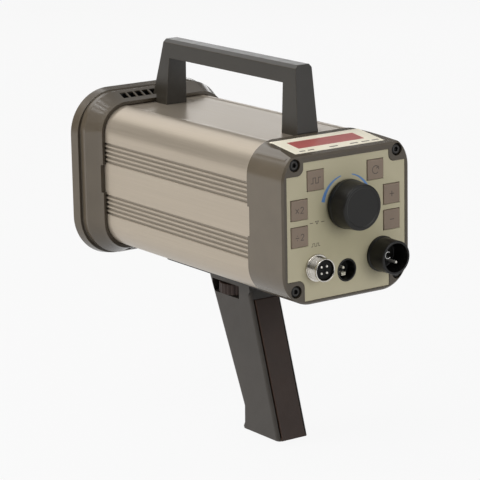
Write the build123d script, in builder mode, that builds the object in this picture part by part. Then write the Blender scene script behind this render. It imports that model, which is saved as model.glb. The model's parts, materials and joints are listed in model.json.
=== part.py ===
"""Hand-held xenon stroboscope, in millimetres.

The origin is in the middle of the pistol grip.  +X is to the operator's right,
+Y runs from the operator's panel to the flash end, +Z is up.
Depths are measured from the face of the panel towards the flash end, and
heights from the optical axis, which runs along Y through the square body.
"""
from build123d import *
from math import atan2, cos, degrees, hypot, radians, sin
import os

# ---------------------------------------------------------------- placement
panel_y = -95.0             # face of the operator's panel
axis_height = 105.0         # optical axis above the origin

# ---------------------------------------------------------------- body tube
body_size = 96.0
body_corner = 18.5
body_wall = 2.6
body_start = 34.0           # depth at which the tube begins, inside the cap's lip
body_end = 206.0            # and where it ends, inside the hood
body_half = body_size / 2
body_bottom = axis_height - body_half
body_floor = body_bottom + body_wall
lip_overlap = 3.0
lip_gap = 0.15
groove_pitch = 3.0
groove_count = 5
groove_width = 1.5
groove_depth = 1.1
groove_group_height = 17.7  # middle of each group of grooves, above or below the axis
land_depth = 0.4            # the flat land on top is sunk by this much
land_width = body_size - 2 * body_corner
board_height = -24.6        # main board, between two pairs of ribs
rib_reach = 3.4
rib_thickness = 1.2
screw_spacing = 79.0        # corner screws of the cap and the hood
screw_port_radius = 2.05
screw_port_wall = 2.1
screw_shank_radius = 2.0
screw_head_radius = 3.4
screw_head_height = 3.6
screw_socket_radius = 1.9
screw_socket_depth = 2.2
screw_recess_radius = 4.0

# ---------------------------------------------------------------- operator cap
cap_size = 98.4
cap_corner = 21.0
cap_depth = 37.0
cap_front_wall = 4.0
cap_wall = 3.0
cap_edge = 1.2
slope_front_height = 44.3   # the display face: height at the panel
slope_rear_height = 49.2    # and at the back of the cap
slope_angle = degrees(atan2(slope_rear_height - slope_front_height, cap_depth))
cap_cavity_top = 41.2
lip_notch_height = 19.0
lip_notch_depth = 1.9

overlay_width = 91.6
overlay_top = 40.4
overlay_bottom = -46.7
overlay_front = 0.3         # depths of the overlay's two faces
overlay_back = 1.2
notch_width = 12.8          # where the overlay clears the corner screws
top_notch_height = 7.9
bottom_notch_height = 13.7
notch_radius = 4.5

plate_width = 69.0          # display plate, along the slope
plate_length = 27.0
plate_middle = 19.4
plate_thickness = 0.8
window_width = 51.4
window_length = 12.8
window_middle = 21.0
module_depth = 7.0
digit_pitch = 12.0

# ---------------------------------------------------------------- keys and knob
key_size = 12.6
key_gap = 0.3
key_front = -0.3
key_back = 1.1
key_travel = 0.4
key_pocket_floor = 2.2
key_stem_radius = 1.6
key_stem_end = 6.0
key_places = {
    "key_double": (-36.5, 11.5),
    "key_halve": (-36.5, -5.4),
    "key_signal": (-23.9, 28.5),
    "key_mode": (22.4, 29.1),
    "key_raise": (35.2, 12.0),
    "key_lower": (35.2, -4.4),
}
board_thickness = 1.6

knob_place = (0, 10.6)
knob_radius = 15.6
knob_face_radius = 14.4
knob_front = -16.0
knob_skirt = -3.6
knob_back = -0.5
knob_recess_radius = 10.5
knob_recess_depth = -6.5
knob_bore_end = -13.0
shaft_radius = 3.0
shaft_fit = 0.05
shaft_end = 8.0
bush_radius = 4.5
encoder_size = 13.4

# ---------------------------------------------------------------- connectors
socket_back = 9.0           # how deep the sockets reach behind the panel
signal_place = (-23.7, -26.5)
signal_flange_radius = 8.7
signal_ring_radius = 7.5
signal_shell_radius = 6.4
signal_bore_radius = 5.2
signal_front = -9.0
signal_insert_front = -6.0
signal_pin_circle = 2.7
signal_pin_radius = 0.6

jack_place = (-0.2, -31.7)
jack_radius = 7.3
jack_bore_radius = 6.3
jack_floor = 9.0
jack_back = 13.0

inlet_place = (26.9, -25.4)
inlet_base_radius = 11.4
inlet_barrel_radius = 10.8
inlet_bore_radius = 9.2
inlet_neck_radius = 9.6
inlet_front = -15.0
inlet_floor = -1.0
inlet_pin_circle = 5.3
inlet_pin_start = -51.0
inlet_pin_tip = -10.8
inlet_pin_radius = 1.0
clip_place = (-6.85, 2.8)   # from the middle of the inlet
clip_radius = 1.75
clip_bore_radius = 1.15

# ---------------------------------------------------------------- flash hood
hood_end = 230.0
hood_sections = (           # depth, width, corner radius of the lip and the flared shoulder
    (202.5, 100.8, 20.0),
    (206.5, 103.2, 21.5),
    (216.0, 112.0, 27.0),
)
channel_size = 110.4        # channel between the shoulder and the rim
channel_corner = 26.2
rim_start = 222.2
rim_width = 117.6
rim_height = 116.0
rim_drop = 0.8              # the rim's middle lies this far below the optical axis
rim_flare = 2.6
rim_corner = 30.0
rim_edge = 0.9
rim_lip = 4.5
rim_recess = 3.0
stop_size = 91.0            # ledge that the end of the body tube meets
stop_end = 208.5
hood_inside = 99.6
hood_inside_corner = 20.8
column_radius = 4.6
front_plate_back = 223.5
lens_opening_radius = 46.6
lens_radius = 49.5
vent_count = 6
vent_pitch = 5.94
vent_width = 4.6
vent_middle = -11.95        # the row of slots lies to the left of the handle
vent_start = 207.3
vent_end = 213.2

# ---------------------------------------------------------------- flash lamp
bowl_depth = 180.0          # depth of the reflector's vertex
bowl_rim = 220.0
bowl_rim_radius = 44.5
bowl_hole_radius = 12.0
bowl_wall = 1.9
bowl_steps = 5
base_radius = 11.8
base_back = 170.0
base_front = 188.0
lamp_leg = 7.0              # half the distance between the legs of the lamp
lamp_radius = 3.0
lamp_leg_end = 203.0

# ---------------------------------------------------------------- inside the body
transformer_place = (18.0, 70.0)
transformer_core = (34.0, 30.0, 28.0)
transformer_coil = (26.0, 40.0, 20.0)
capacitor_radius = 13.0
capacitor_length = 46.0
capacitor_place = (-18.0, 62.0)
trigger_place = (20.0, 132.0)
trigger_size = (18.0, 16.0, 12.0)
main_board_size = (90.0, 110.0)
main_board_middle = 96.0

# ---------------------------------------------------------------- carry handle
handle_foot_width = 16.5
handle_top_width = 11.6
handle_top = 91.9
handle_bar_underside = 79.6
handle_bevel = 2.2
handle_screw_radius = 1.9
handle_screw_head_radius = 3.6
handle_screw_depth = 14.0
handle_screw_places = ((0, panel_y + 48.5), (0, panel_y + 194.0))

# ---------------------------------------------------------------- pistol grip
plate_half_width = 31.5     # plate between the body and the grip
grip_plate_thickness = 1.6
grip_plate_start = 37.8
grip_plate_end = 157.5
grip_half_width = 12.0
grip_rounding = 4.0
front_rounding = 3.2
grip_top = body_bottom - grip_plate_thickness
grip_bottom = -51.5
grip_wall = 2.4
front_top = (-2.5, grip_top)
front_bottom = (-36.3, grip_bottom)
shoulder_top = 43.5         # square shoulder at the top of the grip's front
shoulder_bottom = 37.9
shoulder_reach = 4.4
pad_half_width = 10.2
pad_sunk = 2.4
pad_proud = 0.4
pad_edge = 0.8
grip_screw_places = ((10.0, 24.0), (-4.0, -10.0), (-15.0, -41.0))
column_outside = 3.8
grip_screw_head_radius = 2.7
grip_screw_radius = 1.4
grip_screw_recess = 3.0
opening_front = 6.0         # opening through the grip for the thumbwheel
opening_rear = 36.0
opening_bottom = 36.0
opening_top = 44.5
wheel_y = 21.2
wheel_radius = 14.0
wheel_bottom = 36.6
wheel_height = 7.3
wheel_notches = 26
notch_size = 1.0
stud_radius = 3.1
stud_clearance = 0.5
bush_fit = 0.075


def at_depth(depth):
    """Upright plane across the body, centred on the optical axis, facing the operator."""
    return Plane(origin=(0, panel_y + depth, axis_height), x_dir=(1, 0, 0), z_dir=(0, -1, 0))


def export_piece(piece, name):
    """Name a finished piece and write its STEP file."""
    piece.part.label = name
    export_step(piece.part, f"parts/{name}.step")


def screw_places():
    """The four corner screws, on a plane across the body."""
    return GridLocations(screw_spacing, screw_spacing, 2, 2)


def turned(place, profile):
    """Turn a profile of (radius, depth) points about an axis square to the panel."""
    axis_x, axis_z = place
    turning_plane = Plane(
        origin=(axis_x, panel_y, axis_height + axis_z), x_dir=(1, 0, 0), z_dir=(0, 0, 1)
    )
    with BuildSketch(turning_plane) as half_section:
        with BuildLine():
            Polyline(*profile, close=True)
        make_face()
    revolve(half_section.sketch, axis=Axis(turning_plane.origin, (0, 1, 0)))


os.makedirs("parts", exist_ok=True)

# ================================================================ body tube
with BuildPart() as body_extrusion:
    with BuildSketch(at_depth(body_start)):
        RectangleRounded(body_size, body_size, body_corner)
        RectangleRounded(
            body_size - 2 * body_wall, body_size - 2 * body_wall, body_corner - body_wall,
            mode=Mode.SUBTRACT,
        )
        with screw_places():
            Circle(screw_port_radius + screw_port_wall)
        # two groups of fine grooves on each flank
        for group_height in (groove_group_height, -groove_group_height):
            with Locations((-body_half, group_height), (body_half, group_height)):
                with GridLocations(0, groove_pitch, 1, groove_count):
                    Rectangle(2 * groove_depth, groove_width, mode=Mode.SUBTRACT)
        with Locations((0, body_half)):
            Rectangle(land_width, 2 * land_depth, mode=Mode.SUBTRACT)
        # pairs of ribs that hold the main board
        for side in (-1, 1):
            with Locations((side * (body_half - body_wall - rib_reach / 2 + 0.1), board_height)):
                with GridLocations(0, board_thickness + rib_thickness + 0.6, 1, 2):
                    Rectangle(rib_reach, rib_thickness)
        with screw_places():
            Circle(screw_port_radius, mode=Mode.SUBTRACT)
    extrude(amount=body_start - body_end)
    # hole for the thumbwheel's stud, and two for the handle's screws
    with BuildSketch(Plane.XY.offset(body_bottom)):
        with Locations((0, wheel_y)):
            Circle(stud_radius + stud_clearance)
    extrude(amount=2 * body_wall, mode=Mode.SUBTRACT)
    with BuildSketch(Plane.XY.offset(axis_height + body_half)):
        with Locations(*handle_screw_places):
            Circle(handle_screw_radius + 0.4)
    extrude(amount=-2 * body_wall, mode=Mode.SUBTRACT)
export_piece(body_extrusion, "body_extrusion")

# ================================================================ operator cap
slope_plane = Plane(
    origin=(0, panel_y, axis_height + slope_front_height),
    x_dir=(1, 0, 0),
    z_dir=(0, -sin(radians(slope_angle)), cos(radians(slope_angle))),
)


def overlay_outline(margin):
    """Outline of the panel overlay, grown by a margin, with a rounded notch at each screw."""
    half_width = overlay_width / 2 + margin
    top = overlay_top + margin
    bottom = overlay_bottom - margin
    with Locations((0, (top + bottom) / 2)):
        RectangleRounded(2 * half_width, top - bottom, 1.5)
    for side in (-1, 1):
        for corner_height, notch_height in ((top, top_notch_height), (bottom, bottom_notch_height)):
            with Locations((side * half_width, corner_height)):
                RectangleRounded(
                    2 * notch_width, 2 * notch_height, notch_radius, mode=Mode.SUBTRACT
                )


def panel_holes(mode=Mode.ADD):
    """Openings in the panel for the knob's bush and the three sockets."""
    for place, radius in (
        (knob_place, bush_radius + 0.1), (signal_place, signal_shell_radius + 0.1),
        (jack_place, jack_radius + 0.1), (inlet_place, inlet_neck_radius + 0.2),
    ):
        with Locations(place):
            Circle(radius, mode=mode)


with BuildPart() as operator_cap:
    with BuildSketch(at_depth(0)):
        RectangleRounded(cap_size, cap_size, cap_corner)
    extrude(amount=-cap_depth)
    # sloping face for the display
    with BuildSketch(slope_plane):
        Rectangle(2 * cap_size, 4 * cap_depth)
    extrude(amount=cap_size / 4, mode=Mode.SUBTRACT)
    chamfer(operator_cap.faces().sort_by(Axis.Y)[0].edges(), cap_edge)
    # inside
    inner_bottom = -cap_size / 2 + cap_wall
    with BuildSketch(at_depth(cap_front_wall)):
        with Locations((0, (cap_cavity_top + inner_bottom) / 2)):
            RectangleRounded(
                cap_size - 2 * cap_wall, cap_cavity_top - inner_bottom, cap_corner - cap_wall - 4
            )
    extrude(amount=cap_front_wall - cap_depth, mode=Mode.SUBTRACT)
    with BuildSketch(at_depth(cap_front_wall)):
        with screw_places():
            Circle(screw_port_radius + 3.2)
    extrude(amount=cap_front_wall - body_start)
    # rebate that takes the end of the body tube
    with BuildSketch(at_depth(body_start)):
        RectangleRounded(body_size + 2 * lip_gap, body_size + 2 * lip_gap, body_corner + lip_gap)
    extrude(amount=-lip_overlap - 1, mode=Mode.SUBTRACT)
    # shallow notch in the lip between the groups of grooves
    with BuildSketch(at_depth(cap_depth)):
        Rectangle(2 * cap_size, lip_notch_height)
    extrude(amount=lip_notch_depth, mode=Mode.SUBTRACT)
    # recess for the overlay
    with BuildSketch(at_depth(0)):
        overlay_outline(lip_gap)
    extrude(amount=-overlay_back, mode=Mode.SUBTRACT)
    # pockets and stem holes of the keys
    with BuildSketch(at_depth(0)):
        with Locations(*key_places.values()):
            Rectangle(key_size + 2 * key_gap, key_size + 2 * key_gap)
    extrude(amount=-key_pocket_floor, mode=Mode.SUBTRACT)
    with BuildSketch(at_depth(0)):
        with Locations(*key_places.values()):
            Circle(key_stem_radius + key_gap)
        panel_holes()
    extrude(amount=-cap_front_wall, mode=Mode.SUBTRACT)
    # counterbored corner screws
    with BuildSketch(at_depth(0)):
        with screw_places():
            Circle(screw_recess_radius)
    extrude(amount=-screw_head_height - 0.6, mode=Mode.SUBTRACT)
    with BuildSketch(at_depth(0)):
        with screw_places():
            Circle(screw_shank_radius + 0.2)
    extrude(amount=-cap_depth, mode=Mode.SUBTRACT)
    # recess for the display plate, and the opening below the window
    with BuildSketch(slope_plane):
        with Locations((0, plate_middle)):
            Rectangle(plate_width + 0.2, plate_length + 0.2)
    extrude(amount=-plate_thickness, mode=Mode.SUBTRACT)
    with BuildSketch(slope_plane):
        with Locations((0, window_middle)):
            Rectangle(window_width + 0.2, window_length + 0.2)
    extrude(amount=-module_depth - 3, mode=Mode.SUBTRACT)
export_piece(operator_cap, "operator_cap")

with BuildPart() as panel_overlay:
    with BuildSketch(at_depth(overlay_front)):
        overlay_outline(0)
        with Locations(*key_places.values()):
            Rectangle(key_size + 2 * key_gap, key_size + 2 * key_gap, mode=Mode.SUBTRACT)
        panel_holes(Mode.SUBTRACT)
    extrude(amount=overlay_front - overlay_back)
export_piece(panel_overlay, "panel_overlay")

# ---------------------------------------------------------------- display
with BuildPart() as display_bezel:
    with BuildSketch(slope_plane):
        with Locations((0, plate_middle)):
            Rectangle(plate_width, plate_length)
        with Locations((0, window_middle)):
            Rectangle(window_width + 0.2, window_length + 0.2, mode=Mode.SUBTRACT)
    extrude(amount=-plate_thickness)
export_piece(display_bezel, "display_bezel")

window_front = -0.1
window_back = -1.7
with BuildPart() as display_window:
    with BuildSketch(slope_plane.offset(window_front)):
        with Locations((0, window_middle)):
            Rectangle(window_width, window_length)
    extrude(amount=window_back - window_front)
export_piece(display_window, "display_window")

with BuildPart() as display_module:
    with BuildSketch(slope_plane.offset(window_back)):
        with Locations((0, window_middle)):
            Rectangle(window_width - 1.2, window_length - 0.4)
    extrude(amount=-module_depth)
    # four digit wells in the face below the window
    with BuildSketch(slope_plane.offset(window_back)):
        with Locations((0, window_middle)):
            with GridLocations(digit_pitch, 0, 4, 1):
                Rectangle(0.75 * digit_pitch, 0.75 * window_length)
    extrude(amount=-0.6, mode=Mode.SUBTRACT)
export_piece(display_module, "display_module")


# ---------------------------------------------------------------- corner screws
def socket_screws(head_depth, facing, length):
    """Socket-head screw at each corner; facing is 1 on the panel and -1 on the hood."""
    with BuildSketch(at_depth(head_depth)) as heads:
        with screw_places():
            Circle(screw_head_radius)
    extrude(heads.sketch, amount=-facing * screw_head_height)
    with BuildSketch(at_depth(head_depth)) as sockets:
        with screw_places():
            RegularPolygon(screw_socket_radius, 6)
    extrude(sockets.sketch, amount=-facing * screw_socket_depth, mode=Mode.SUBTRACT)
    with BuildSketch(at_depth(head_depth + facing * screw_head_height)) as shanks:
        with screw_places():
            Circle(screw_shank_radius)
    extrude(shanks.sketch, amount=-facing * length)


with BuildPart() as panel_screws:
    socket_screws(0.6, 1, 46.0)
export_piece(panel_screws, "panel_screws")

with BuildPart() as hood_screws:
    socket_screws(hood_end - rim_recess - 0.2, -1, 38.0)
export_piece(hood_screws, "hood_screws")

# ---------------------------------------------------------------- keys
for key_name, key_place in key_places.items():
    with BuildPart() as key:
        with BuildSketch(at_depth(key_front)):
            with Locations(key_place):
                RectangleRounded(key_size, key_size, 0.7)
        extrude(amount=key_front - key_back)
        chamfer(key.faces().sort_by(Axis.Y)[0].edges(), 0.3)
        with BuildSketch(at_depth(key_back)):
            with Locations(key_place):
                Circle(key_stem_radius)
        extrude(amount=key_back - key_stem_end)
    export_piece(key, key_name)

with BuildPart() as key_board:
    with BuildSketch(at_depth(key_stem_end + key_travel + 0.1)):
        with Locations((0, 12)):
            Rectangle(86, 44)
        with screw_places():
            Circle(screw_port_radius + 3.6, mode=Mode.SUBTRACT)
        with Locations(knob_place):
            Rectangle(encoder_size + 1, encoder_size + 1, mode=Mode.SUBTRACT)
    extrude(amount=-board_thickness)
export_piece(key_board, "key_board")

# ---------------------------------------------------------------- rate knob
with BuildPart() as rate_knob:
    turned(
        knob_place,
        (
            (0, knob_front), (knob_face_radius - 1.2, knob_front),
            (knob_face_radius, knob_front + 1.2), (knob_radius - 0.3, knob_skirt),
            (knob_radius, knob_skirt + 0.4), (knob_radius, knob_back),
            (knob_recess_radius, knob_back), (knob_recess_radius, knob_recess_depth),
            (shaft_radius + 0.02, knob_recess_depth), (shaft_radius + 0.02, knob_bore_end),
            (0, knob_bore_end),
        ),
    )
export_piece(rate_knob, "rate_knob")

with BuildPart() as encoder_shaft:
    turned(
        knob_place,
        ((0, knob_bore_end), (shaft_radius, knob_bore_end), (shaft_radius, shaft_end), (0, shaft_end)),
    )
export_piece(encoder_shaft, "encoder_shaft")

bush_bore = shaft_radius + shaft_fit
with BuildPart() as encoder_body:
    turned(
        knob_place,
        (
            (bush_bore, -cap_front_wall), (bush_radius, -cap_front_wall),
            (bush_radius, cap_front_wall + 0.2), (bush_bore, cap_front_wall + 0.2),
        ),
    )
    with BuildSketch(at_depth(cap_front_wall)):
        with Locations(knob_place):
            Rectangle(encoder_size, encoder_size)
            Circle(bush_bore, mode=Mode.SUBTRACT)
    extrude(amount=cap_front_wall - shaft_end - 1)
    with BuildSketch(at_depth(shaft_end + 1)):
        with Locations(knob_place):
            Rectangle(encoder_size, encoder_size)
    extrude(amount=-1.5)
export_piece(encoder_body, "encoder_body")

with BuildPart() as encoder_nut:
    with BuildSketch(at_depth(overlay_front)):
        with Locations(knob_place):
            RegularPolygon(7.6, 6)
            Circle(bush_radius + 0.02, mode=Mode.SUBTRACT)
    extrude(amount=2.0)
export_piece(encoder_nut, "encoder_nut")

# ---------------------------------------------------------------- signal socket
with BuildPart() as signal_socket_shell:
    turned(
        signal_place,
        (
            (signal_bore_radius, signal_front), (signal_shell_radius - 0.4, signal_front),
            (signal_shell_radius, signal_front + 0.4), (signal_shell_radius, -4.6),
            (signal_ring_radius, -4.2), (signal_ring_radius, -1.4),
            (signal_flange_radius - 0.3, -1.2), (signal_flange_radius, -0.9),
            (signal_flange_radius, overlay_front), (signal_shell_radius, overlay_front),
            (signal_shell_radius, socket_back), (signal_bore_radius, socket_back),
        ),
    )
export_piece(signal_socket_shell, "signal_socket_shell")


def signal_pin_places():
    """Four contacts of the signal socket."""
    return PolarLocations(signal_pin_circle, 4, start_angle=45)


with BuildPart() as signal_socket_insert:
    with BuildSketch(at_depth(signal_insert_front)):
        with Locations(signal_place):
            Circle(signal_bore_radius - 0.02)
            with signal_pin_places():
                Circle(signal_pin_radius + 0.01, mode=Mode.SUBTRACT)
    extrude(amount=signal_insert_front - socket_back)
export_piece(signal_socket_insert, "signal_socket_insert")

with BuildPart() as signal_socket_pins:
    with BuildSketch(at_depth(signal_front + 1)):
        with Locations(signal_place):
            with signal_pin_places():
                Circle(signal_pin_radius)
    extrude(amount=signal_front - socket_back - 2)
export_piece(signal_socket_pins, "signal_socket_pins")

with BuildPart() as signal_socket_nut:
    with BuildSketch(at_depth(cap_front_wall)):
        with Locations(signal_place):
            RegularPolygon(9.4, 6)
            Circle(signal_shell_radius + 0.02, mode=Mode.SUBTRACT)
    extrude(amount=-2.4)
export_piece(signal_socket_nut, "signal_socket_nut")

# ---------------------------------------------------------------- auxiliary jack
with BuildPart() as aux_jack_shell:
    turned(
        jack_place,
        (
            (jack_bore_radius, 0), (jack_radius, 0), (jack_radius, jack_back), (0, jack_back),
            (0, jack_floor), (jack_bore_radius, jack_floor),
        ),
    )
export_piece(aux_jack_shell, "aux_jack_shell")

jack_x, jack_z = jack_place
with BuildPart() as aux_jack_contacts:
    with BuildSketch(at_depth(4.6)):
        with Locations((jack_x + 0.7, jack_z + 0.6)):
            Circle(0.9)
    extrude(amount=4.6 - jack_floor)
    with BuildSketch(at_depth(5.2)):
        with Locations((jack_x + 1.1, jack_z - 3.7)):
            Rectangle(3.4, 2.2)
    extrude(amount=5.2 - jack_floor)
export_piece(aux_jack_contacts, "aux_jack_contacts")

# ---------------------------------------------------------------- power inlet
with BuildPart() as power_inlet_barrel:
    turned(
        inlet_place,
        (
            (inlet_bore_radius, inlet_front), (inlet_barrel_radius - 0.5, inlet_front),
            (inlet_barrel_radius, inlet_front + 0.5), (inlet_barrel_radius, -1.8),
            (inlet_base_radius, -1.2), (inlet_base_radius, overlay_front),
            (inlet_neck_radius, overlay_front), (inlet_neck_radius, socket_back),
            (0, socket_back), (0, inlet_floor), (inlet_bore_radius, inlet_floor),
        ),
    )
export_piece(power_inlet_barrel, "power_inlet_barrel")

with BuildPart() as power_inlet_pins:
    with BuildSketch(at_depth(inlet_pin_tip)):
        with Locations(inlet_place):
            with PolarLocations(inlet_pin_circle, 3, start_angle=inlet_pin_start):
                Circle(inlet_pin_radius)
    extrude(amount=inlet_pin_tip - inlet_floor)
export_piece(power_inlet_pins, "power_inlet_pins")

clip_x = inlet_place[0] + clip_place[0]
clip_z = inlet_place[1] + clip_place[1]
with BuildPart() as power_inlet_clip:
    with BuildSketch(at_depth(inlet_front + 0.2)):
        with Locations((clip_x, clip_z)):
            Circle(clip_radius)
            Circle(clip_bore_radius, mode=Mode.SUBTRACT)
        # the ring is open on one side
        with Locations((clip_x + 1.4, clip_z + 0.5)):
            Rectangle(1.2, 1.2, mode=Mode.SUBTRACT)
    extrude(amount=inlet_front + 0.2 - inlet_floor)
export_piece(power_inlet_clip, "power_inlet_clip")

# ================================================================ flash hood
hood_start = hood_sections[0][0]
shoulder_end = hood_sections[-1][0]
with BuildPart() as flash_hood:
    # lip and flared shoulder, in straight bands from one section to the next
    for near_section, far_section in zip(hood_sections, hood_sections[1:]):
        for depth, width, corner in (near_section, far_section):
            with BuildSketch(at_depth(depth)):
                RectangleRounded(width, width, corner)
        loft(ruled=True)
    # channel behind the rim, then the rim, which still flares a little
    with BuildSketch(at_depth(shoulder_end)):
        RectangleRounded(channel_size, channel_size, channel_corner)
    extrude(amount=shoulder_end - rim_start)
    for depth, narrower in ((rim_start, rim_flare), (hood_end, 0)):
        with BuildSketch(at_depth(depth)):
            with Locations((0, -rim_drop)):
                RectangleRounded(
                    rim_width - narrower, rim_height - narrower, rim_corner - narrower / 2
                )
    loft(ruled=True)
    chamfer(flash_hood.faces().sort_by(Axis.Y)[-1].edges(), rim_edge)
    # recess in front of the plate that carries the lens
    with BuildSketch(at_depth(hood_end)):
        with Locations((0, -rim_drop)):
            RectangleRounded(
                rim_width - 2 * rim_lip, rim_height - 2 * rim_lip, rim_corner - rim_lip
            )
    extrude(amount=rim_recess, mode=Mode.SUBTRACT)
    # inside, behind the front plate, with a ledge that stops the body tube
    with BuildSketch(at_depth(body_end)):
        RectangleRounded(stop_size, stop_size, body_corner - body_wall)
    extrude(amount=body_end - stop_end, mode=Mode.SUBTRACT)
    with BuildSketch(at_depth(stop_end)):
        RectangleRounded(hood_inside, hood_inside, hood_inside_corner)
    extrude(amount=stop_end - front_plate_back, mode=Mode.SUBTRACT)
    with BuildSketch(at_depth(body_end)):
        with screw_places():
            Circle(column_radius)
    extrude(amount=body_end - front_plate_back)
    # rebate that takes the end of the body tube, and the notch in its lip
    with BuildSketch(at_depth(hood_start)):
        RectangleRounded(body_size + 2 * lip_gap, body_size + 2 * lip_gap, body_corner + lip_gap)
    extrude(amount=hood_start - body_end, mode=Mode.SUBTRACT)
    with BuildSketch(at_depth(hood_start)):
        Rectangle(2 * rim_width, lip_notch_height)
    extrude(amount=-lip_notch_depth, mode=Mode.SUBTRACT)
    # opening for the lens
    with BuildSketch(at_depth(hood_end)):
        Circle(lens_opening_radius)
    extrude(amount=hood_end - front_plate_back + 1, mode=Mode.SUBTRACT)
    # counterbored corner screws
    with BuildSketch(at_depth(hood_end - rim_recess)):
        with screw_places():
            Circle(screw_recess_radius)
    extrude(amount=screw_head_height + 0.2, mode=Mode.SUBTRACT)
    with BuildSketch(at_depth(hood_end)):
        with screw_places():
            Circle(screw_shank_radius + 0.2)
    extrude(amount=hood_end - body_end + 1, mode=Mode.SUBTRACT)
    # cooling slots through the top and the bottom of the shoulder
    with BuildSketch(Plane.XY.offset(axis_height)):
        with Locations((vent_middle, panel_y + (vent_start + vent_end) / 2)):
            with GridLocations(vent_pitch, 0, vent_count, 1):
                Rectangle(vent_width, vent_end - vent_start)
    extrude(amount=rim_width, both=True, mode=Mode.SUBTRACT)
export_piece(flash_hood, "flash_hood")

# ---------------------------------------------------------------- flash optics
optical_axis = (0, 0)
gasket_radius = lens_opening_radius + 0.2
gasket_front = 223.0
with BuildPart() as lens_gasket:
    turned(
        optical_axis,
        (
            (gasket_radius, gasket_front), (lens_radius, gasket_front),
            (lens_radius, front_plate_back), (gasket_radius, front_plate_back),
        ),
    )
export_piece(lens_gasket, "lens_gasket")

with BuildPart() as flash_lens:
    turned(
        optical_axis,
        (
            (0, 226.0), (0, 228.6), (20, 228.2), (36, 227.4), (45.6, 226.6), (46.4, 226.0),
            (46.4, gasket_front), (lens_radius, gasket_front), (lens_radius, 221.0),
            (44.0, 221.0), (44.0, 224.2), (30, 225.2), (14, 225.8),
        ),
    )
export_piece(flash_lens, "flash_lens")


def bowl_points(set_back):
    """Parabola of the reflector, from the lamp's hole to its rim."""
    focal_run = bowl_rim_radius ** 2 / (bowl_rim - bowl_depth)
    points = []
    for step in range(bowl_steps + 1):
        radius = bowl_hole_radius + (bowl_rim_radius - bowl_hole_radius) * step / bowl_steps
        points.append((radius, bowl_depth + radius ** 2 / focal_run - set_back))
    return points


with BuildPart() as reflector:
    turned(
        optical_axis,
        (
            *bowl_points(0), (lens_radius, bowl_rim), (lens_radius, bowl_rim - 1),
            *reversed(bowl_points(bowl_wall)),
        ),
    )
export_piece(reflector, "reflector")

with BuildPart() as lamp_base:
    turned(
        optical_axis,
        (
            (0, base_back), (base_radius, base_back), (base_radius, base_front - 2),
            (base_radius - 2.8, base_front), (0, base_front),
        ),
    )
export_piece(lamp_base, "lamp_base")

axis_plane = Plane(origin=(0, panel_y, axis_height), x_dir=(1, 0, 0), z_dir=(0, 0, 1))
with BuildPart() as flash_tube:
    with BuildLine(axis_plane) as lamp_path:
        Line((-lamp_leg, base_front), (-lamp_leg, lamp_leg_end))
        ThreePointArc((-lamp_leg, lamp_leg_end), (0, lamp_leg_end + lamp_leg), (lamp_leg, lamp_leg_end))
        Line((lamp_leg, lamp_leg_end), (lamp_leg, base_front))
    with BuildSketch(at_depth(base_front)):
        with Locations((-lamp_leg, 0)):
            Circle(lamp_radius)
    sweep(path=lamp_path.wires()[0])
export_piece(flash_tube, "flash_tube")

# ---------------------------------------------------------------- inside the body
board_bottom = axis_height + board_height - board_thickness / 2
board_top = board_bottom + board_thickness
with BuildPart() as main_board:
    with BuildSketch(Plane.XY.offset(board_bottom)):
        with Locations((0, panel_y + main_board_middle)):
            Rectangle(*main_board_size)
    extrude(amount=board_thickness)
export_piece(main_board, "main_board")

core_width, core_length, core_height = transformer_core
coil_width, coil_length, coil_height = transformer_coil
transformer_x, transformer_depth = transformer_place
with BuildPart() as supply_transformer:
    with BuildSketch(Plane.XY.offset(board_top)):
        with Locations((transformer_x, panel_y + transformer_depth)):
            Rectangle(core_width, core_length)
    extrude(amount=core_height)
    with BuildSketch(Plane.XY.offset(board_top + (core_height - coil_height) / 2)):
        with Locations((transformer_x, panel_y + transformer_depth)):
            RectangleRounded(coil_width, coil_length, 4)
    extrude(amount=coil_height)
export_piece(supply_transformer, "supply_transformer")

capacitor_x, capacitor_depth = capacitor_place
capacitor_plane = Plane(
    origin=(capacitor_x, panel_y + capacitor_depth, board_top + capacitor_radius),
    x_dir=(1, 0, 0),
    z_dir=(0, 1, 0),
)
with BuildPart() as flash_capacitor:
    with BuildSketch(capacitor_plane):
        Circle(capacitor_radius)
    extrude(amount=capacitor_length)
    chamfer(flash_capacitor.edges().filter_by(GeomType.CIRCLE), 1.2)
export_piece(flash_capacitor, "flash_capacitor")

trigger_width, trigger_length, trigger_height = trigger_size
with BuildPart() as trigger_transformer:
    with BuildSketch(Plane.XY.offset(board_top)):
        with Locations((trigger_place[0], panel_y + trigger_place[1])):
            RectangleRounded(trigger_width, trigger_length, 3)
    extrude(amount=trigger_height)
export_piece(trigger_transformer, "trigger_transformer")

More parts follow.
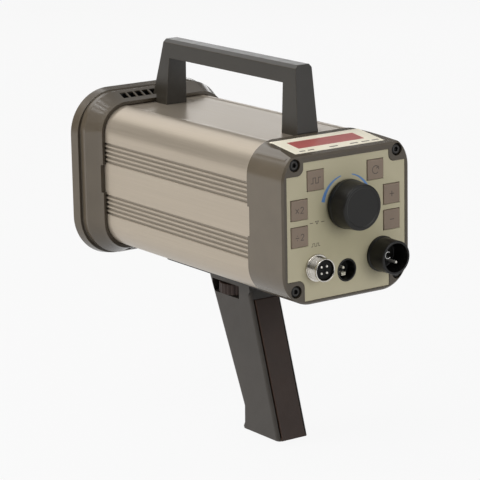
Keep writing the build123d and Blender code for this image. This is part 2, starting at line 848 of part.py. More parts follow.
# ================================================================ carry handle
foot = body_half - land_depth
side_plane = Plane(origin=(0, panel_y, axis_height), x_dir=(0, 1, 0), z_dir=(1, 0, 0))
with BuildPart() as top_handle:
    with BuildSketch(side_plane) as handle_outline:
        with BuildLine():
            Polyline(
                (39.3, foot), (43.2, handle_top), (191.2, handle_top), (196.0, 75.6),
                (203.2, 53.4), (199.6, 53.4), (199.6, foot), (187.2, foot),
                (184.6, handle_bar_underside), (56.1, handle_bar_underside), (56.1, foot),
                close=True,
            )
        make_face()
        high_corners = handle_outline.vertices().filter_by_position(
            Axis.Z, axis_height + 75, axis_height + handle_top + 1
        )
        fillet(high_corners, 1.5)
    extrude(amount=handle_foot_width / 2, both=True)
    # the flanks lean in towards the top, which has bevelled edges
    half_foot = handle_foot_width / 2
    half_top = handle_top_width / 2
    with BuildSketch(at_depth(0)):
        with BuildLine():
            Polyline(
                (-half_foot, foot), (-half_top - 0.6, handle_top - handle_bevel),
                (-half_top + 1.4, handle_top), (half_top - 1.4, handle_top),
                (half_top + 0.6, handle_top - handle_bevel), (half_foot, foot),
                close=True,
            )
        make_face()
    extrude(amount=-hood_end, mode=Mode.INTERSECT)
    with BuildSketch(Plane.XY.offset(axis_height + foot)):
        with Locations(*handle_screw_places):
            Circle(handle_screw_radius + 0.05)
    extrude(amount=handle_screw_depth, mode=Mode.SUBTRACT)
export_piece(top_handle, "top_handle")

with BuildPart() as handle_screws:
    with BuildSketch(Plane.XY.offset(axis_height + body_half - body_wall)):
        with Locations(*handle_screw_places):
            Circle(handle_screw_head_radius)
    extrude(amount=-2.6)
    with BuildSketch(Plane.XY.offset(axis_height + body_half - body_wall)):
        with Locations(*handle_screw_places):
            Circle(handle_screw_radius)
    extrude(amount=handle_screw_depth)
export_piece(handle_screws, "handle_screws")

# ================================================================ pistol grip
plate_run = grip_plate_end - grip_plate_start
with BuildPart() as grip_plate:
    with BuildSketch(Plane.XY.offset(grip_top)):
        with Locations((0, panel_y + grip_plate_start + plate_run / 2)):
            RectangleRounded(2 * plate_half_width, plate_run, 3)
        with Locations((0, wheel_y)):
            Circle(stud_radius + stud_clearance, mode=Mode.SUBTRACT)
    extrude(amount=grip_plate_thickness)
export_piece(grip_plate, "grip_plate")

front_run = front_top[1] - front_bottom[1]
front_slope = (front_top[0] - front_bottom[0]) / front_run
front_stretch = hypot(1, front_slope)


def front_at(height, inward=0.0):
    """Point on the grip's sloping front at a height, moved square to it into the grip."""
    return (front_top[0] - (front_top[1] - height) * front_slope + inward * front_stretch, height)


grip_outline = (
    front_top, (46.0, grip_top), (1.6, -42.3), (1.7, -47.0), (3.2, -50.0), (2.4, grip_bottom),
    front_bottom,
)
grip_cavity = (
    (6.0, 33.0), (30.5, 33.0), (-1.0, -40.0), (-1.0, -48.5), (-26.5, -48.5),
)
shoulder_outline = (
    front_top, front_at(shoulder_top), front_at(shoulder_bottom, shoulder_reach),
    front_at(grip_top, shoulder_reach),
)


def grip_shell(side):
    """One half of the grip, its flat joint face at x = 0; side is 1 on the right."""
    with BuildSketch(Plane.YZ) as outline:
        with BuildLine():
            Polyline(*grip_outline, close=True)
        make_face()
    extrude(outline.sketch, amount=side * grip_half_width)
    outer_face = faces().sort_by(Axis.X)[-1 if side > 0 else 0]
    long_edges = outer_face.edges().filter_by(lambda edge: edge.length > 60).sort_by(Axis.Y)
    fillet(long_edges[-1], grip_rounding)
    fillet(long_edges[0], front_rounding)
    # square shoulder above the rounded front corner
    with BuildSketch(Plane.YZ) as shoulder:
        with BuildLine():
            Polyline(*shoulder_outline, close=True)
        make_face()
    extrude(shoulder.sketch, amount=side * grip_half_width)
    # hollow, with a column for each screw
    with BuildSketch(Plane.YZ) as cavity:
        with BuildLine():
            Polyline(*grip_cavity, close=True)
        make_face()
        with Locations(*grip_screw_places):
            Circle(column_outside, mode=Mode.SUBTRACT)
    extrude(cavity.sketch, amount=side * (grip_half_width - grip_wall), mode=Mode.SUBTRACT)
    # opening for the thumbwheel, and the passage of its stud
    with BuildSketch(Plane.YZ) as opening:
        with Locations(((opening_front + opening_rear) / 2, (opening_bottom + opening_top) / 2)):
            Rectangle(opening_rear - opening_front, opening_top - opening_bottom)
    extrude(opening.sketch, amount=side * 2 * grip_half_width, mode=Mode.SUBTRACT)
    with BuildSketch(Plane.XY.offset(opening_top)) as passage:
        with Locations((0, wheel_y)):
            Circle(stud_radius + stud_clearance)
    extrude(passage.sketch, amount=grip_top - opening_top + 1, mode=Mode.SUBTRACT)
    # pocket for the front pad
    with BuildSketch(Plane.YZ) as pocket:
        with BuildLine():
            Polyline(
                front_at(shoulder_bottom, -2), front_at(shoulder_bottom, pad_sunk),
                front_at(grip_bottom - 2, pad_sunk), front_at(grip_bottom - 2, -2), close=True,
            )
        make_face()
    extrude(pocket.sketch, amount=side * pad_half_width, mode=Mode.SUBTRACT)


with BuildPart() as grip_left_shell:
    grip_shell(-1)
    with BuildSketch(Plane.YZ):
        with Locations(*grip_screw_places):
            Circle(grip_screw_radius + 0.05)
    extrude(amount=3 - grip_half_width, mode=Mode.SUBTRACT)
export_piece(grip_left_shell, "grip_left_shell")

right_face = Plane.YZ.offset(grip_half_width)
with BuildPart() as grip_right_shell:
    grip_shell(1)
    with BuildSketch(right_face):
        with Locations(*grip_screw_places):
            Circle(grip_screw_head_radius + 0.3)
    extrude(amount=-grip_screw_recess, mode=Mode.SUBTRACT)
    with BuildSketch(right_face):
        with Locations(*grip_screw_places):
            Circle(grip_screw_radius + 0.2)
    extrude(amount=-grip_half_width, mode=Mode.SUBTRACT)
export_piece(grip_right_shell, "grip_right_shell")

with BuildPart() as grip_screws:
    with BuildSketch(right_face.offset(-1)):
        with Locations(*grip_screw_places):
            Circle(grip_screw_head_radius)
    extrude(amount=1 - grip_screw_recess)
    # cross recess
    with BuildSketch(right_face.offset(-1)):
        with Locations(*grip_screw_places):
            Rectangle(3.2, 0.8)
            Rectangle(0.8, 3.2)
    extrude(amount=-1, mode=Mode.SUBTRACT)
    with BuildSketch(right_face.offset(-grip_screw_recess)):
        with Locations(*grip_screw_places):
            Circle(grip_screw_radius)
    extrude(amount=-16)
export_piece(grip_screws, "grip_screws")

pad_top = shoulder_bottom - 0.1
with BuildPart() as grip_front_pad:
    with BuildSketch(Plane.YZ):
        with BuildLine():
            Polyline(
                front_at(pad_top, -pad_proud), front_at(pad_top, pad_sunk),
                front_at(grip_bottom, pad_sunk), front_at(grip_bottom, 1.2 - pad_proud),
                front_at(grip_bottom + 1.6, -pad_proud), close=True,
            )
        make_face()
    extrude(amount=pad_half_width - 0.05, both=True)
    long_edges = grip_front_pad.edges().filter_by(lambda edge: edge.length > 80)
    chamfer(long_edges.group_by(Axis.Y)[0], pad_edge)
export_piece(grip_front_pad, "grip_front_pad")

# ---------------------------------------------------------------- thumbwheel screw
wheel_plane = Plane(origin=(0, wheel_y, wheel_bottom))
with BuildPart() as thumbwheel:
    with BuildSketch(wheel_plane):
        Circle(wheel_radius)
        with PolarLocations(wheel_radius + 0.3, wheel_notches):
            Circle(notch_size, mode=Mode.SUBTRACT)
        Circle(stud_radius + 0.02, mode=Mode.SUBTRACT)
    extrude(amount=wheel_height)
export_piece(thumbwheel, "thumbwheel")

with BuildPart() as thumbwheel_stud:
    with BuildSketch(wheel_plane):
        Circle(stud_radius)
    extrude(amount=body_floor + 5.4 - wheel_bottom)
    chamfer(thumbwheel_stud.faces().sort_by(Axis.Z)[-1].edges(), 0.5)
export_piece(thumbwheel_stud, "thumbwheel_stud")

with BuildPart() as bush_plate:
    with BuildSketch(Plane.XY.offset(body_floor)):
        with Locations((0, wheel_y)):
            RectangleRounded(44, 30, 3)
            Circle(stud_radius + bush_fit, mode=Mode.SUBTRACT)
    extrude(amount=3)
    with BuildSketch(Plane.XY.offset(body_floor + 3)):
        with Locations((0, wheel_y)):
            Circle(6.5)
            Circle(stud_radius + bush_fit, mode=Mode.SUBTRACT)
    extrude(amount=4)
export_piece(bush_plate, "bush_plate")
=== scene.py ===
import json
from functools import partial
from math import atan2, cos, hypot, pi, radians, sin, sqrt

import bmesh
import bpy
from mathutils import Matrix, Vector


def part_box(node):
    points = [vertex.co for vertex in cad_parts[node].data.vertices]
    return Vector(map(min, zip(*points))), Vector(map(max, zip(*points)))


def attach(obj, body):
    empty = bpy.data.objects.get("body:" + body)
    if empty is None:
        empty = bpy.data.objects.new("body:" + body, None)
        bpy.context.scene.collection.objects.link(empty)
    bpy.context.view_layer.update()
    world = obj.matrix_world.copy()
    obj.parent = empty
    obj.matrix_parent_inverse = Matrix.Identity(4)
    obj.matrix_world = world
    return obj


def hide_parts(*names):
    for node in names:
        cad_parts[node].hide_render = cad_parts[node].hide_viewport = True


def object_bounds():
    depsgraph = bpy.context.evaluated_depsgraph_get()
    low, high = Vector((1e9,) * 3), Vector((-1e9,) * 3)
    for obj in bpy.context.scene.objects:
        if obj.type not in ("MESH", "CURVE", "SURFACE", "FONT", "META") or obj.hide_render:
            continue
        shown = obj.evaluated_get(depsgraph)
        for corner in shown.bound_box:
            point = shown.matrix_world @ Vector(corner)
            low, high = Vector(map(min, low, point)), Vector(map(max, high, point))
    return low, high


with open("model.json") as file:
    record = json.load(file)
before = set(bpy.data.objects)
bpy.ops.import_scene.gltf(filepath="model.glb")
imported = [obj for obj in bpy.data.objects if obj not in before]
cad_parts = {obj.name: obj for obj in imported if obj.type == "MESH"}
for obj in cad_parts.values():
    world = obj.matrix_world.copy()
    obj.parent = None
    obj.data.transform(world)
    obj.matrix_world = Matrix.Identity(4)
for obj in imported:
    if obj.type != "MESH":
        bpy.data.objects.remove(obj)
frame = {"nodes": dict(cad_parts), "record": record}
cadLow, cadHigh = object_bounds()
mm = 0.001

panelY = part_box("operator_cap")[0].y                    # face of the operator's panel
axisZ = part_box("body_extrusion")[0].z + 48 * mm         # optical axis
bodyOfNode = {
    member: body for body, members in frame["record"]["behaviour"]["bodies"].items()
    for member in members
}
print("frame loaded", len(frame["nodes"]), "nodes")


def between(start, end, steps):        # evenly spaced values, both ends included
    return [start + (end - start) * step / steps for step in range(steps + 1)]


def place(x, depth, height):           # millimetres right, behind the panel, above the axis
    return Vector((x * mm, panelY + depth * mm, axisZ + height * mm))


def setInputs(node, inputs):           # a value, a socket, a node's first output, or a list
    for key, value in inputs.items():
        for source in value if isinstance(value, list) else [value]:
            if isinstance(source, bpy.types.Node):
                source = source.outputs[0]
            if isinstance(source, bpy.types.NodeSocket):
                node.id_data.links.new(source, node.inputs[key])
            else:
                node.inputs[key].default_value = source


def addNode(tree, kind, inputs=None, **settings):
    # kind is Blender's own name for the node, without what stands before it
    starts = (tree.bl_idname.removesuffix("Tree"), "ShaderNode", "Node")
    node = tree.nodes.new(next(
        start + kind for start in starts if hasattr(bpy.types, start + kind)
    ))
    for key, value in settings.items():
        setattr(node, key, value)
    setInputs(node, inputs or {})
    return node


signs = {"+": "ADD", "-": "SUBTRACT", "*": "MULTIPLY", "/": "DIVIDE",
         "<": "LESS_THAN", ">": "GREATER_THAN"}


def calc(tree, first, sign, second=0.0):
    # each term may itself be (first, sign, second) or (first, operation)
    terms = [calc(tree, *term) if isinstance(term, tuple) else term for term in (first, second)]
    return addNode(
        tree, "Math", {0: terms[0], 1: terms[1]}, operation=signs.get(sign, sign)
    ).outputs[0]


def newMaterial(name, look):
    material = bpy.data.materials.new(name)
    material.use_nodes = True
    material.diffuse_color = (*look["color"], 1)
    shader = material.node_tree.nodes["Principled BSDF"]
    setInputs(shader, {
        "Base Color": (*look["color"], 1), "Roughness": look["roughness"],
        "Metallic": look.get("metallic", 0.0), "Specular IOR Level": look.get("shine", 0.5),
        **look.get("sockets", {}),
    })
    return material, material.node_tree, shader


def objectNoise(tree, scale, stretch=(1, 1, 1), detail=3.0, roughness=0.55):
    coords = addNode(tree, "TexCoord").outputs["Object"]
    return addNode(tree, "TexNoise", {
        "Vector": addNode(tree, "Mapping", {"Vector": coords, "Scale": stretch}),
        "Scale": scale, "Detail": detail, "Roughness": roughness,
    }).outputs["Fac"]


def spread(tree, source, low, high, fromLow=0.3, fromHigh=0.7):
    return addNode(tree, "MapRange", {
        "Value": source, "From Min": fromLow, "From Max": fromHigh, "To Min": low, "To Max": high,
    }).outputs["Result"]


def blendColors(tree, factor, first, second):
    first, second = (
        (*color, 1) if isinstance(color, tuple) else color for color in (first, second)
    )
    mix = addNode(tree, "Mix", {0: factor, 6: first, 7: second}, data_type="RGBA")
    return mix.outputs[2]              # 6, 7 and 2 are the node's colour sockets


def shade(color, amount):
    return tuple(min(1.0, channel * amount) for channel in color)


def bump(tree, height, strength, distance):
    return addNode(tree, "Bump", {
        "Height": height, "Strength": strength, "Distance": distance,
    }).outputs["Normal"]


def aboutAxis(tree):
    # distance to the side of the axis, depth behind the panel, distance above or below the axis
    spot = addNode(tree, "SeparateXYZ", {0: addNode(tree, "TexCoord").outputs["Object"]}).outputs
    return (
        calc(tree, spot["X"], "ABSOLUTE"), calc(tree, spot["Y"], "-", panelY),
        calc(tree, (spot["Z"], "-", axisZ), "ABSOLUTE"),
    )


def fromAxis(tree):
    across, _, up = aboutAxis(tree)
    return calc(tree, ((across, "*", across), "+", (up, "*", up)), "SQRT")


def slotShadeMask(tree, slots):
    # 1 just below the sloping skin, where the cooling slots are cut; it masks the painted shade
    # inside the slots
    across, depth, up = aboutAxis(tree)
    start = slots["start"] * mm
    skin = calc(tree, up, "-", ((depth, "-", start), "*", slots["rise"]))
    top = slots["height"]
    below = spread(tree, skin, 1.0, 0.0, (top - 0.9) * mm, (top - 0.35) * mm)
    nearRow = ((depth, ">", start), "*", (depth, "<", slots["end"] * mm))
    return calc(tree, below, "*", (nearRow, "*", (across, "<", slots["reach"] * mm)))


def withinBox(tree, low, high, soft):
    # 1 inside a box about the optical axis, 0 outside it; both flanks count alike
    across, _, up = aboutAxis(tree)

    def ramp(value, limit, start, end):
        return spread(tree, value, start, end, (limit - soft) * mm, (limit + soft) * mm)

    inside = (ramp(across, high[0], 1.0, 0.0), "*", ramp(up, high[1], 1.0, 0.0))
    outside = (ramp(across, low[0], 0.0, 1.0), "MAXIMUM", ramp(up, low[1], 0.0, 1.0))
    return calc(tree, inside, "*", outside)


def grainySurface(name, look):
    # moulded or printed surface: mottled colour, fine grain, paler edges that show rubbed wear and
    # a painted highlight
    color, roughness, swing = look["color"], look["roughness"], look["mottle"]
    material, tree, shader = newMaterial(name, look)
    mottle = spread(tree, objectNoise(tree, 60.0, detail=4.0), 0.0, 1.0)
    tinted = blendColors(tree, mottle, shade(color, 1 - swing), shade(color, 1 + swing))
    if "wear" in look:                 # how much of the edges is paled, and their tint: rubbed wear, and on some parts a painted highlight
        amount, tint = look["wear"]
        patchy = spread(tree, objectNoise(tree, 90.0, detail=5.0), 0.25, amount)
        onEdge = addNode(tree, "Attribute", attribute_name="wornEdge").outputs["Fac"]
        tinted = blendColors(tree, calc(tree, onEdge, "*", patchy), tinted, shade(color, tint))
    if "paleRim" in look:              # painted shade: the film is darker in the middle of the panel, round the knob, and pales towards its edges
        rim = look["paleRim"]
        outward = spread(tree, fromAxis(tree), 0.0, 1.0, rim["from"] * mm, rim["to"] * mm)
        pale = tuple(channel * tint for channel, tint in zip(color, rim["tint"]))
        tinted = blendColors(tree, outward, tinted, pale)
    if "deepSlots" in look:            # painted shade: near black behind the skin where the slots are cut
        tinted = blendColors(tree, slotShadeMask(tree, look["deepSlots"]), tinted, (0.004,) * 3)
    patches = objectNoise(tree, look.get("patchScale", 140.0), detail=2.0)
    grain = objectNoise(tree, look.get("grainScale", 2600.0), detail=2.0)
    gloss = spread(tree, patches, roughness - 0.01, roughness + 0.03)
    normal = bump(tree, grain, look["grain"], 0.0002)
    setInputs(shader, {"Base Color": tinted, "Roughness": gloss, "Normal": normal})
    return material


def brushedMetal(name, look):
    # drawn or turned metal: hair lines along one direction
    color, roughness, swing = look["color"], look["roughness"], look["swing"]
    material, tree, shader = newMaterial(name, look)
    stretch = look.get("stretch", (1, 1, 1))
    lines = objectNoise(tree, look["lineScale"], stretch, detail=5.0, roughness=0.7)
    tinted = blendColors(
        tree, spread(tree, lines, 0.0, 1.0), shade(color, 1 - swing), shade(color, 1 + swing)
    )
    if "dirt" in look:                 # painted shade: darker in the bottoms of the pressed grooves and on the flanks of the bore
        grooveShadeMask = withinBox(tree, *look["dirt"])
        tinted = blendColors(tree, grooveShadeMask, tinted, shade(color, look["dirtTint"]))
    gloss = spread(tree, lines, roughness - 0.04, roughness + 0.06)
    normal = bump(tree, lines, look["lineDepth"], 0.0001)
    setInputs(shader, {"Base Color": tinted, "Roughness": gloss, "Normal": normal})
    return material


def clearGlass(name, look):
    material, tree, shader = newMaterial(name, look)
    smears = objectNoise(tree, 35.0, detail=3.0)
    setInputs(shader, {
        "Roughness": spread(tree, smears, look["roughness"], look["roughness"] + 0.05),
        "Normal": bump(tree, objectNoise(tree, 90.0, detail=1.0), 0.04, 0.0004),
    })
    return material


# colour, roughness, line scale, swing of the colour, line depth, nodes, what else it has
metals = {
    "anodisedTube": ((0.42, 0.36, 0.285), 0.32, 900.0, 0.06, 0.1, "body_extrusion", {
        "metallic": 0.6, "stretch": (1.0, 0.012, 1.0),
        # painted shade in the bottoms of the flank grooves and on the flanks of the bore
        "dirt": ((40.0, 60.0), (47.35, 27.0), 0.15), "dirtTint": 0.6}),
    "nickelPlate": ((0.66, 0.63, 0.58), 0.2, 420.0, 0.16, 0.12,
        "signal_socket_shell signal_socket_nut", {"metallic": 1.0, "stretch": (1.0, 0.3, 1.0)}),
    "contactMetal": ((0.90, 0.87, 0.80), 0.3, 700.0, 0.05, 0.04,
        "signal_socket_pins power_inlet_pins", {"metallic": 0.55}),
    "turnedSteel": ((0.52, 0.52, 0.51), 0.3, 900.0, 0.08, 0.1,
        "power_inlet_clip encoder_shaft encoder_body encoder_nut thumbwheel_stud bush_plate",
        {"metallic": 1.0, "stretch": (1.0, 8.0, 1.0)}),
    "blackOxideSteel": ((0.014, 0.0135, 0.013), 0.4, 1200.0, 0.2, 0.1,
        "handle_screws grip_screws grip_plate", {"shine": 0.4}),
    "mirrorBowl": ((0.86, 0.86, 0.87), 0.12, 260.0, 0.03, 0.08, "reflector", {"metallic": 1.0}),
}
# colour, roughness, grain, mottle, the nodes that wear it, and what else it has
surfaces = {
    "taupeHousing": ((0.095, 0.077, 0.055), 0.2, 0.03, 0.05, "operator_cap", {"wear": (0.6, 1.5)}),
    "hoodHousing": ((0.075, 0.060, 0.042), 0.19, 0.03, 0.05, "flash_hood", {
        # the slot entry paints shade on the walls inside the cooling slots
        "wear": (0.6, 1.5), "shine": 0.55, "deepSlots": {
            "start": 206.6, "end": 214.2, "height": 51.6, "rise": 0.463, "reach": 29.0}}),
    "panelFilm": ((0.51, 0.465, 0.30), 0.52, 0.18, 0.03, "panel_overlay", {
        # the falloff paints shade in the middle of the film, round the knob
        "grainScale": 3200.0, "paleRim": {"from": 17.0, "to": 44.0, "tint": (1.2, 1.2, 1.28)}}),
    "keyFilm": ((0.29, 0.22, 0.165), 0.55, 0.2, 0.06,
        "key_double key_halve key_signal key_mode key_raise key_lower", {"grainScale": 3000.0}),
    # the handle's pale rounded edges are a painted highlight along its edges as well as wear
    "charcoalHandle": ((0.0225, 0.0192, 0.0145), 0.3, 0.04, 0.06,
        "top_handle", {"wear": (0.8, 2.8), "shine": 0.6}),
    "gripShell": ((0.038, 0.033, 0.028), 0.46, 0.28, 0.08,
        "grip_left_shell grip_right_shell", {"grainScale": 1800.0, "wear": (0.5, 1.6)}),
    "gripPad": ((0.034, 0.0185, 0.0125), 0.58, 0.35, 0.12,
        "grip_front_pad", {"grainScale": 1500.0, "wear": (0.4, 1.8), "shine": 0.4}),
    "knobPlastic": ((0.0075, 0.007, 0.006), 0.34, 0.08, 0.15,
        "rate_knob", {"wear": (0.5, 3.0), "shine": 0.35}),
    "thumbwheelPlastic": ((0.022, 0.0125, 0.0095), 0.5, 0.15, 0.12,
        "thumbwheel", {"wear": (0.4, 1.6), "shine": 0.35}),
    "insertPlastic": ((0.004, 0.0038, 0.0035), 0.45, 0.1, 0.15,
        "signal_socket_insert", {"shine": 0.15}),
    "platedContact": ((0.92, 0.88, 0.72), 0.35, 0.05, 0.05, "aux_jack_contacts", {"shine": 0.8}),
    # the screws' edge tint is a painted highlight on the ring round the socket
    "blackScrew": ((0.0085, 0.008, 0.0075), 0.34, 0.1, 0.15,
        "panel_screws hood_screws", {"wear": (1.1, 9.0), "shine": 0.3}),
    "socketPlastic": ((0.007, 0.0065, 0.006), 0.34, 0.08, 0.15,
        "aux_jack_shell power_inlet_barrel", {"wear": (0.5, 3.0), "shine": 0.35}),
    "creamPlate": ((0.97, 0.91, 0.74), 0.4, 0.05, 0.02, "display_bezel", {}),
    "printedMark": ((0.11, 0.085, 0.065), 0.5, 0.1, 0.12, "", {}),
    "blueArcInk": ((0.13, 0.285, 0.60), 0.45, 0.1, 0.12, "", {}),
    "sealRubber": ((0.02, 0.02, 0.02), 0.6, 0.3, 0.1, "lens_gasket", {}),
    "lampCeramic": ((0.78, 0.74, 0.66), 0.35, 0.1, 0.04, "lamp_base", {}),
    "boardLaminate": ((0.03, 0.11, 0.05), 0.45, 0.3, 0.15, "key_board main_board", {}),
    "capacitorSleeve": ((0.03, 0.04, 0.13), 0.35, 0.05, 0.08, "flash_capacitor", {}),
    "varnishedWinding": ((0.10, 0.06, 0.035), 0.4, 0.4, 0.2,
        "supply_transformer trigger_transformer", {}),
    "redWindow": ((0.45, 0.115, 0.105), 0.34, 0.02, 0.08, "display_window", {"patchScale": 40.0}),
    "digitModule": ((0.05, 0.012, 0.012), 0.4, 0.1, 0.2, "display_module", {}),
}
glasses = {    # colour, roughness, nodes, what else it has
    "clearLens": ((0.96, 0.98, 0.98), 0.02, "flash_lens", {
        "sockets": {"Transmission Weight": 1.0, "IOR": 1.49}}),
    "quartzTube": ((0.97, 0.97, 0.98), 0.03, "flash_tube", {
        "sockets": {"Transmission Weight": 1.0, "IOR": 1.46}}),
}
materials, lookOfNode = {}, {}
for make, looks, labels in (
    (brushedMetal, metals, ("color", "roughness", "lineScale", "swing", "lineDepth")),
    (grainySurface, surfaces, ("color", "roughness", "grain", "mottle")),
    (clearGlass, glasses, ("color", "roughness")),
):
    for name, (*values, nodeNames, extras) in looks.items():
        materials[name] = make(name, {**dict(zip(labels, values)), **extras})
        for nodeName in nodeNames.split():
            lookOfNode[nodeName] = materials[name]
for nodeName, nodeObject in frame["nodes"].items():
    nodeObject.data.materials.clear()
    nodeObject.data.materials.append(lookOfNode[nodeName])
print("materials made", len(materials))


def addObject(name, mesh, material):
    item = bpy.data.objects.new(name, mesh)
    bpy.context.scene.collection.objects.link(item)
    mesh.materials.clear()
    mesh.materials.append(material)
    return item


def bridge(work, rings, loop=False):
    # joins each ring of points to the next; a chain that isn't a loop is closed at its ends
    rings = [[work.verts.new(point) for point in ring] for ring in rings]
    for near, far in zip(rings, rings[1:] + rings[:1] if loop else rings[1:]):
        for index in range(len(near)):
            following = (index + 1) % len(near)
            work.faces.new((near[index], near[following], far[following], far[index]))
    if not loop:
        work.faces.new(rings[0])
        work.faces.new(list(reversed(rings[-1])))


def pieceFrom(work, nodeName, name=None, material=None, merge=0.0005):
    name = name or nodeName.replace("_", "-")
    bmesh.ops.remove_doubles(work, verts=work.verts, dist=merge * mm)
    bmesh.ops.recalc_face_normals(work, faces=work.faces)
    mesh = bpy.data.meshes.new(name)
    work.to_mesh(mesh)
    work.free()
    return addObject(name, mesh, material or lookOfNode[nodeName])


def reworked(item, merge=0.001, flat=0.0, outward=True):
    # merges doubled corners, and joins faces that lie within the flat angle
    work = bmesh.new()
    work.from_mesh(item.data)
    bmesh.ops.remove_doubles(work, verts=work.verts, dist=merge * mm)
    if outward:
        bmesh.ops.recalc_face_normals(work, faces=work.faces)
    if flat > 0:
        bmesh.ops.dissolve_limit(
            work, angle_limit=radians(flat), verts=work.verts, edges=work.edges,
            delimit={"NORMAL"},
        )
    work.to_mesh(item.data)
    work.free()
    return item


def finished(item):                    # turn live modifiers into a plain mesh
    bpy.context.view_layer.update()
    evaluated = item.evaluated_get(bpy.context.evaluated_depsgraph_get())
    plain = bpy.data.meshes.new_from_object(evaluated)
    item.modifiers.clear()
    item.data = plain


def modify(item, kind, **settings):
    modifier = item.modifiers.new(kind.lower(), kind)
    for key, value in settings.items():
        setattr(modifier, key, value)
    finished(item)


def softEdges(item, width, segments=3, angle=32, smoothAngle=35, weighted=False):
    mesh = item.data
    mesh.set_sharp_from_angle(angle=radians(smoothAngle))
    mesh.polygons.foreach_set("use_smooth", [True] * len(mesh.polygons))
    if width > 0:
        mesh.materials.append(mesh.materials[0])
        modify(item, "BEVEL", width=width * mm, segments=segments, limit_method="ANGLE",
               angle_limit=radians(angle), harden_normals=not weighted,
               miter_outer="MITER_ARC", material=1)
        # the rounded strips get an attribute that the materials read as wear and as a painted
        # highlight
        mesh = item.data
        strips = [polygon.material_index for polygon in mesh.polygons]
        worn = mesh.attributes.new("wornEdge", "FLOAT", "FACE")
        worn.data.foreach_set("value", [float(index) for index in strips])
        mesh.polygons.foreach_set("material_index", [0] * len(strips))
        mesh.materials.pop()
    if weighted:                       # large faces keep their own normal
        modify(item, "WEIGHTED_NORMAL", keep_sharp=True, weight=80)


def finishPiece(item, nodeName, width=0, **edges):
    softEdges(item, width, **edges)
    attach(item, bodyOfNode[nodeName])
    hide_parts(nodeName)


def addDetail(item, bodyName):
    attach(item, bodyName)


def buildPiece(work, nodeName, width=0, pieceName=None, **edges):
    finishPiece(pieceFrom(work, nodeName, pieceName), nodeName, width, **edges)


def refinedCopy(nodeName, width, smoothAngle=35):
    mesh = frame["nodes"][nodeName].data.copy()
    item = addObject(nodeName.replace("_", "-"), mesh, lookOfNode[nodeName])
    reworked(item, 0.002, flat=0.6, outward=False)
    finishPiece(item, nodeName, width, smoothAngle=smoothAngle, weighted=True)


def roundedProfile(corners, steps=5):
    # corners of (across, along, rounding) become points, with an arc at each rounding
    points = []
    for index, (across, along, rounding) in enumerate(corners):
        if rounding <= 0:
            points.append((across, along))
            continue
        here = Vector((across, along))
        before, after = (
            Vector(corners[(index + turn) % len(corners)][:2]) - here for turn in (-1, 1)
        )
        half = before.angle(after) / 2
        before, after = before.normalized(), after.normalized()
        reach = rounding * cos(half) / sin(half)
        centre = here + (before + after).normalized() * (rounding / sin(half))
        first = here + before * reach - centre
        sweep = first.angle_signed(here + after * reach - centre)
        for step in range(steps + 1):
            turn = -sweep * step / steps
            points.append((
                centre.x + first.x * cos(turn) - first.y * sin(turn),
                centre.y + first.x * sin(turn) + first.y * cos(turn),
            ))
    return points


def latheInto(work, profile, toWorld, steps=96):
    # closed profile of (radius, along) turned about the along axis
    turns = [2 * pi * step / steps for step in range(steps)]
    bridge(work, [
        [toWorld(radius * cos(turn), radius * sin(turn), along) for turn in turns]
        for radius, along in profile
    ], loop=True)


def turnedPiece(nodeName, corners, centre=(0, 0), steps=96, pieceName=None):
    # a turned piece whose axis is square to the panel
    work = bmesh.new()
    latheInto(work, roundedProfile(corners), lambda across, up, along: place(
        centre[0] + across, along, centre[1] + up
    ), steps)
    bmesh.ops.remove_doubles(work, verts=work.verts, dist=0.0005 * mm)
    bmesh.ops.dissolve_degenerate(work, edges=work.edges, dist=0.0002 * mm)
    axisEdges = [edge for edge in work.edges if not edge.link_faces]
    bmesh.ops.delete(work, geom=axisEdges, context="EDGES")
    buildPiece(work, nodeName, pieceName=pieceName, smoothAngle=40)


view = {       # millimetres, degrees, and the clipping range in metres
    "spot": (-897.0, -1165.8, 339.0), "yaw": 34.991, "pitch": 13.408, "roll": -1.096,
    "lens": 183.1635, "sensor": 36.0, "clip": (0.05, 20.0),
}


def makeCamera():
    data = bpy.data.cameras.new("mainCamera")
    data.sensor_width, data.lens = view["sensor"], view["lens"]
    data.clip_start, data.clip_end = view["clip"]
    camera = bpy.data.objects.new("mainCamera", data)
    bpy.context.scene.collection.objects.link(camera)
    camera.matrix_world = Matrix.Translation(place(*view["spot"]))
    for angle, axis in ((-view["yaw"], "Z"), (90 - view["pitch"], "X"), (view["roll"], "Z")):
        camera.matrix_world @= Matrix.Rotation(radians(angle), 4, axis)
    bpy.context.scene.camera = camera


makeCamera()

lamps = {      # place in metres from the grip, size in metres, power in watts
    "left": ((-1.35, 0.5, 0.45), (1.0, 1.0), 24.5),
    "front": ((0.4, -1.6, 0.5), (0.9, 0.9), 7.6),
    "back": ((1.2, 1.5, 0.45), (0.9, 0.3), 1.95),
    "highBack": ((-0.05, 1.6, 1.3), (1.6, 0.5), 3.2),
    "ceilingTube1": ((-0.20, 0.1, 1.45), (0.9, 0.09), 1.1),
    "ceilingTube2": ((-0.44, 0.1, 1.39), (0.9, 0.09), 1.9),
    "ceilingTube3": ((-0.67, 0.1, 1.30), (0.9, 0.09), 1.9),
    "ceilingTube4": ((-0.88, 0.1, 1.17), (0.9, 0.09), 1.2),
}
lampAim = Vector((0, 0.02, 0.08))
for lampName, (spot, size, power) in lamps.items():
    lampData = bpy.data.lights.new(lampName, "AREA")
    lampData.shape = "RECTANGLE"
    lampData.size, lampData.size_y = size
    lampData.energy = power
    lamp = bpy.data.objects.new(lampName, lampData)
    lamp.location = spot
    lamp.rotation_mode = "QUATERNION"
    lamp.rotation_quaternion = (lampAim - lamp.location).to_track_quat("-Z", "Y")
    lamp.visible_glossy = lampName != "left"        # no glare of it on the flank
    bpy.context.scene.collection.objects.link(lamp)

